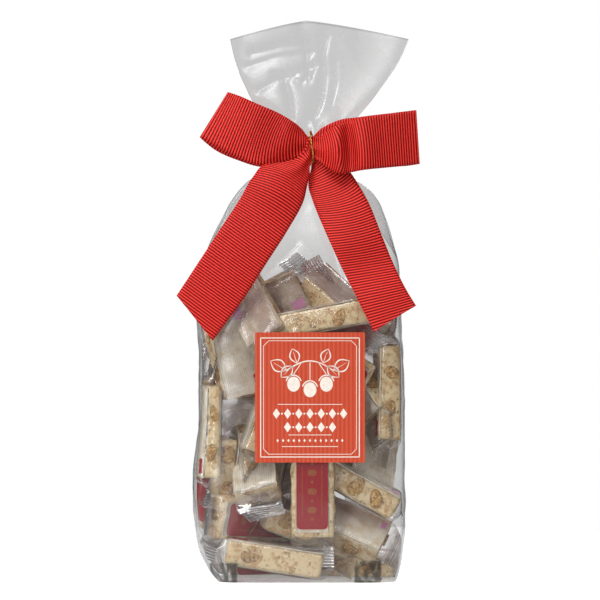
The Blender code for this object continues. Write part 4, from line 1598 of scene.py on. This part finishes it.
@dataclass
class Studio:
    """Pale floor, soft white light and the camera of the photograph."""

    distance: float = 2.5
    elevation: float = 2.0
    target: Place = (0.00086, 0.0, 0.131)
    lens: float = 320.2
    room: float = 0.12
    ceiling: float = 0.75
    floor_radius: float = 0.32
    floor_sides: int = 64
    lit: Place = (0.0, 0.0, 0.14)
    film_layers: int = 96
    bounces: int = 8
    panels: tuple = (
        ((-0.6, -1.45, 0.5), (0.24, 0.9), 7.5, True),
        ((1.1, -1.0, 0.6), (0.14, 0.9), 0.8, True),
        ((-1.4, -0.3, 0.5), (0.26, 0.9), 5.5, True),
        ((-0.3, -1.0, 1.5), (1.2, 0.7), 15.0, True),
        ((0.3, 1.5, 0.9), (0.9, 0.4), 8.0, True),
        ((-1.1, -1.6, 0.45), (1.0, 1.0), 7.0, False),
        ((0.0, 1.7, 0.4), (1.4, 1.0), 22.0, False),
        ((1.5, 0.8, 0.5), (0.8, 0.9), 9.0, False),
    )
    """Place, width and height, power, and whether it mirrors in film, of each panel round the bag."""

    def build(self) -> None:
        """Sets up floor, lights, surround and camera."""
        self.floor()
        self.light()
        self.world()
        self.camera()
        settings = bpy.context.scene
        settings.view_settings.view_transform = "Standard"
        settings.cycles.transparent_max_bounces = self.film_layers
        settings.cycles.max_bounces = self.bounces

    def floor(self) -> None:
        """A wide white floor that keeps a soft shadow under the bag."""
        angle = circle(self.floor_sides)
        rim = np.column_stack([np.cos(angle), np.sin(angle), 0 * angle]) * self.floor_radius / MM
        floor = Builder.piece("floor", rim - (0, 0, 0.05), [tuple(range(self.floor_sides))], placed=False)
        graph = Graph("floor_white")
        seen = graph.add("LightPath").outputs["Is Camera Ray"]
        tone = graph.mix(graph.noise(3.0), (0.38, 0.38, 0.38), (0.42, 0.42, 0.42))
        glow = graph.math("MULTIPLY_ADD", seen, 0.6, 0.3)
        shine = {"Emission Color": (1.0, 1.0, 1.0), "Emission Strength": glow}
        floor.data.materials.append(graph.principled(tone, 0.9, more=shine))

    def light(self) -> None:
        """Light panels round the bag, whose reflections give the film its streaks."""
        for index, (place, size, power, mirrors) in enumerate(self.panels):
            lamp = bpy.data.lights.new(f"panel_{index}", "AREA")
            lamp.shape = "RECTANGLE"
            lamp.size, lamp.size_y = size
            lamp.energy = power
            holder = Builder.linked(lamp.name, lamp)
            holder.location = place
            holder.visible_glossy = mirrors
            aim = Vector(self.lit) - holder.location
            holder.rotation_euler = aim.to_track_quat("-Z", "Y").to_euler()

    def world(self) -> None:
        """White behind the bag, and a dim room with a bright ceiling for what the film gives back."""
        graph = Graph("white_room", bpy.data.worlds)
        seen = graph.add("LightPath").outputs["Is Camera Ray"]
        up = graph.add("SeparateXYZ", {0: graph.add("TexCoord").outputs["Generated"]}).outputs[2]
        high = graph.ramp(up, 0.35, 0.95)
        room = graph.mix(high, (self.room,) * 3, (self.ceiling,) * 3)
        back = graph.add("Background", {"Color": graph.mix(seen, room, (1.0, 1.0, 1.0))})
        graph.add("OutputWorld", {"Surface": back.outputs[0]})
        bpy.context.scene.world = graph.owner

    def camera(self) -> None:
        """The camera: far off, level with the bag, looking slightly down."""
        lens = bpy.data.cameras.new("camera")
        lens.lens = self.lens
        lens.clip_end = 50.0
        camera = Builder.linked("camera", lens)
        down = math.radians(self.elevation)
        back = Vector((0, -math.cos(down), math.sin(down))) * self.distance
        camera.location = Vector(self.target) + back
        camera.rotation_euler = (math.pi / 2 - down, 0, 0)
        bpy.context.scene.camera = camera


def main() -> None:
    """Builds the studio and every piece in order."""
    logging.basicConfig(level=logging.INFO, format="%(name)s %(message)s")
    Studio().build()
    film = FilmBag()
    Contents(film).build()
    film.build()
    Label().build()
    WireTie().build()
    Bow().build()
    bpy.context.view_layer.update()


if __name__ == "__main__":
    main()
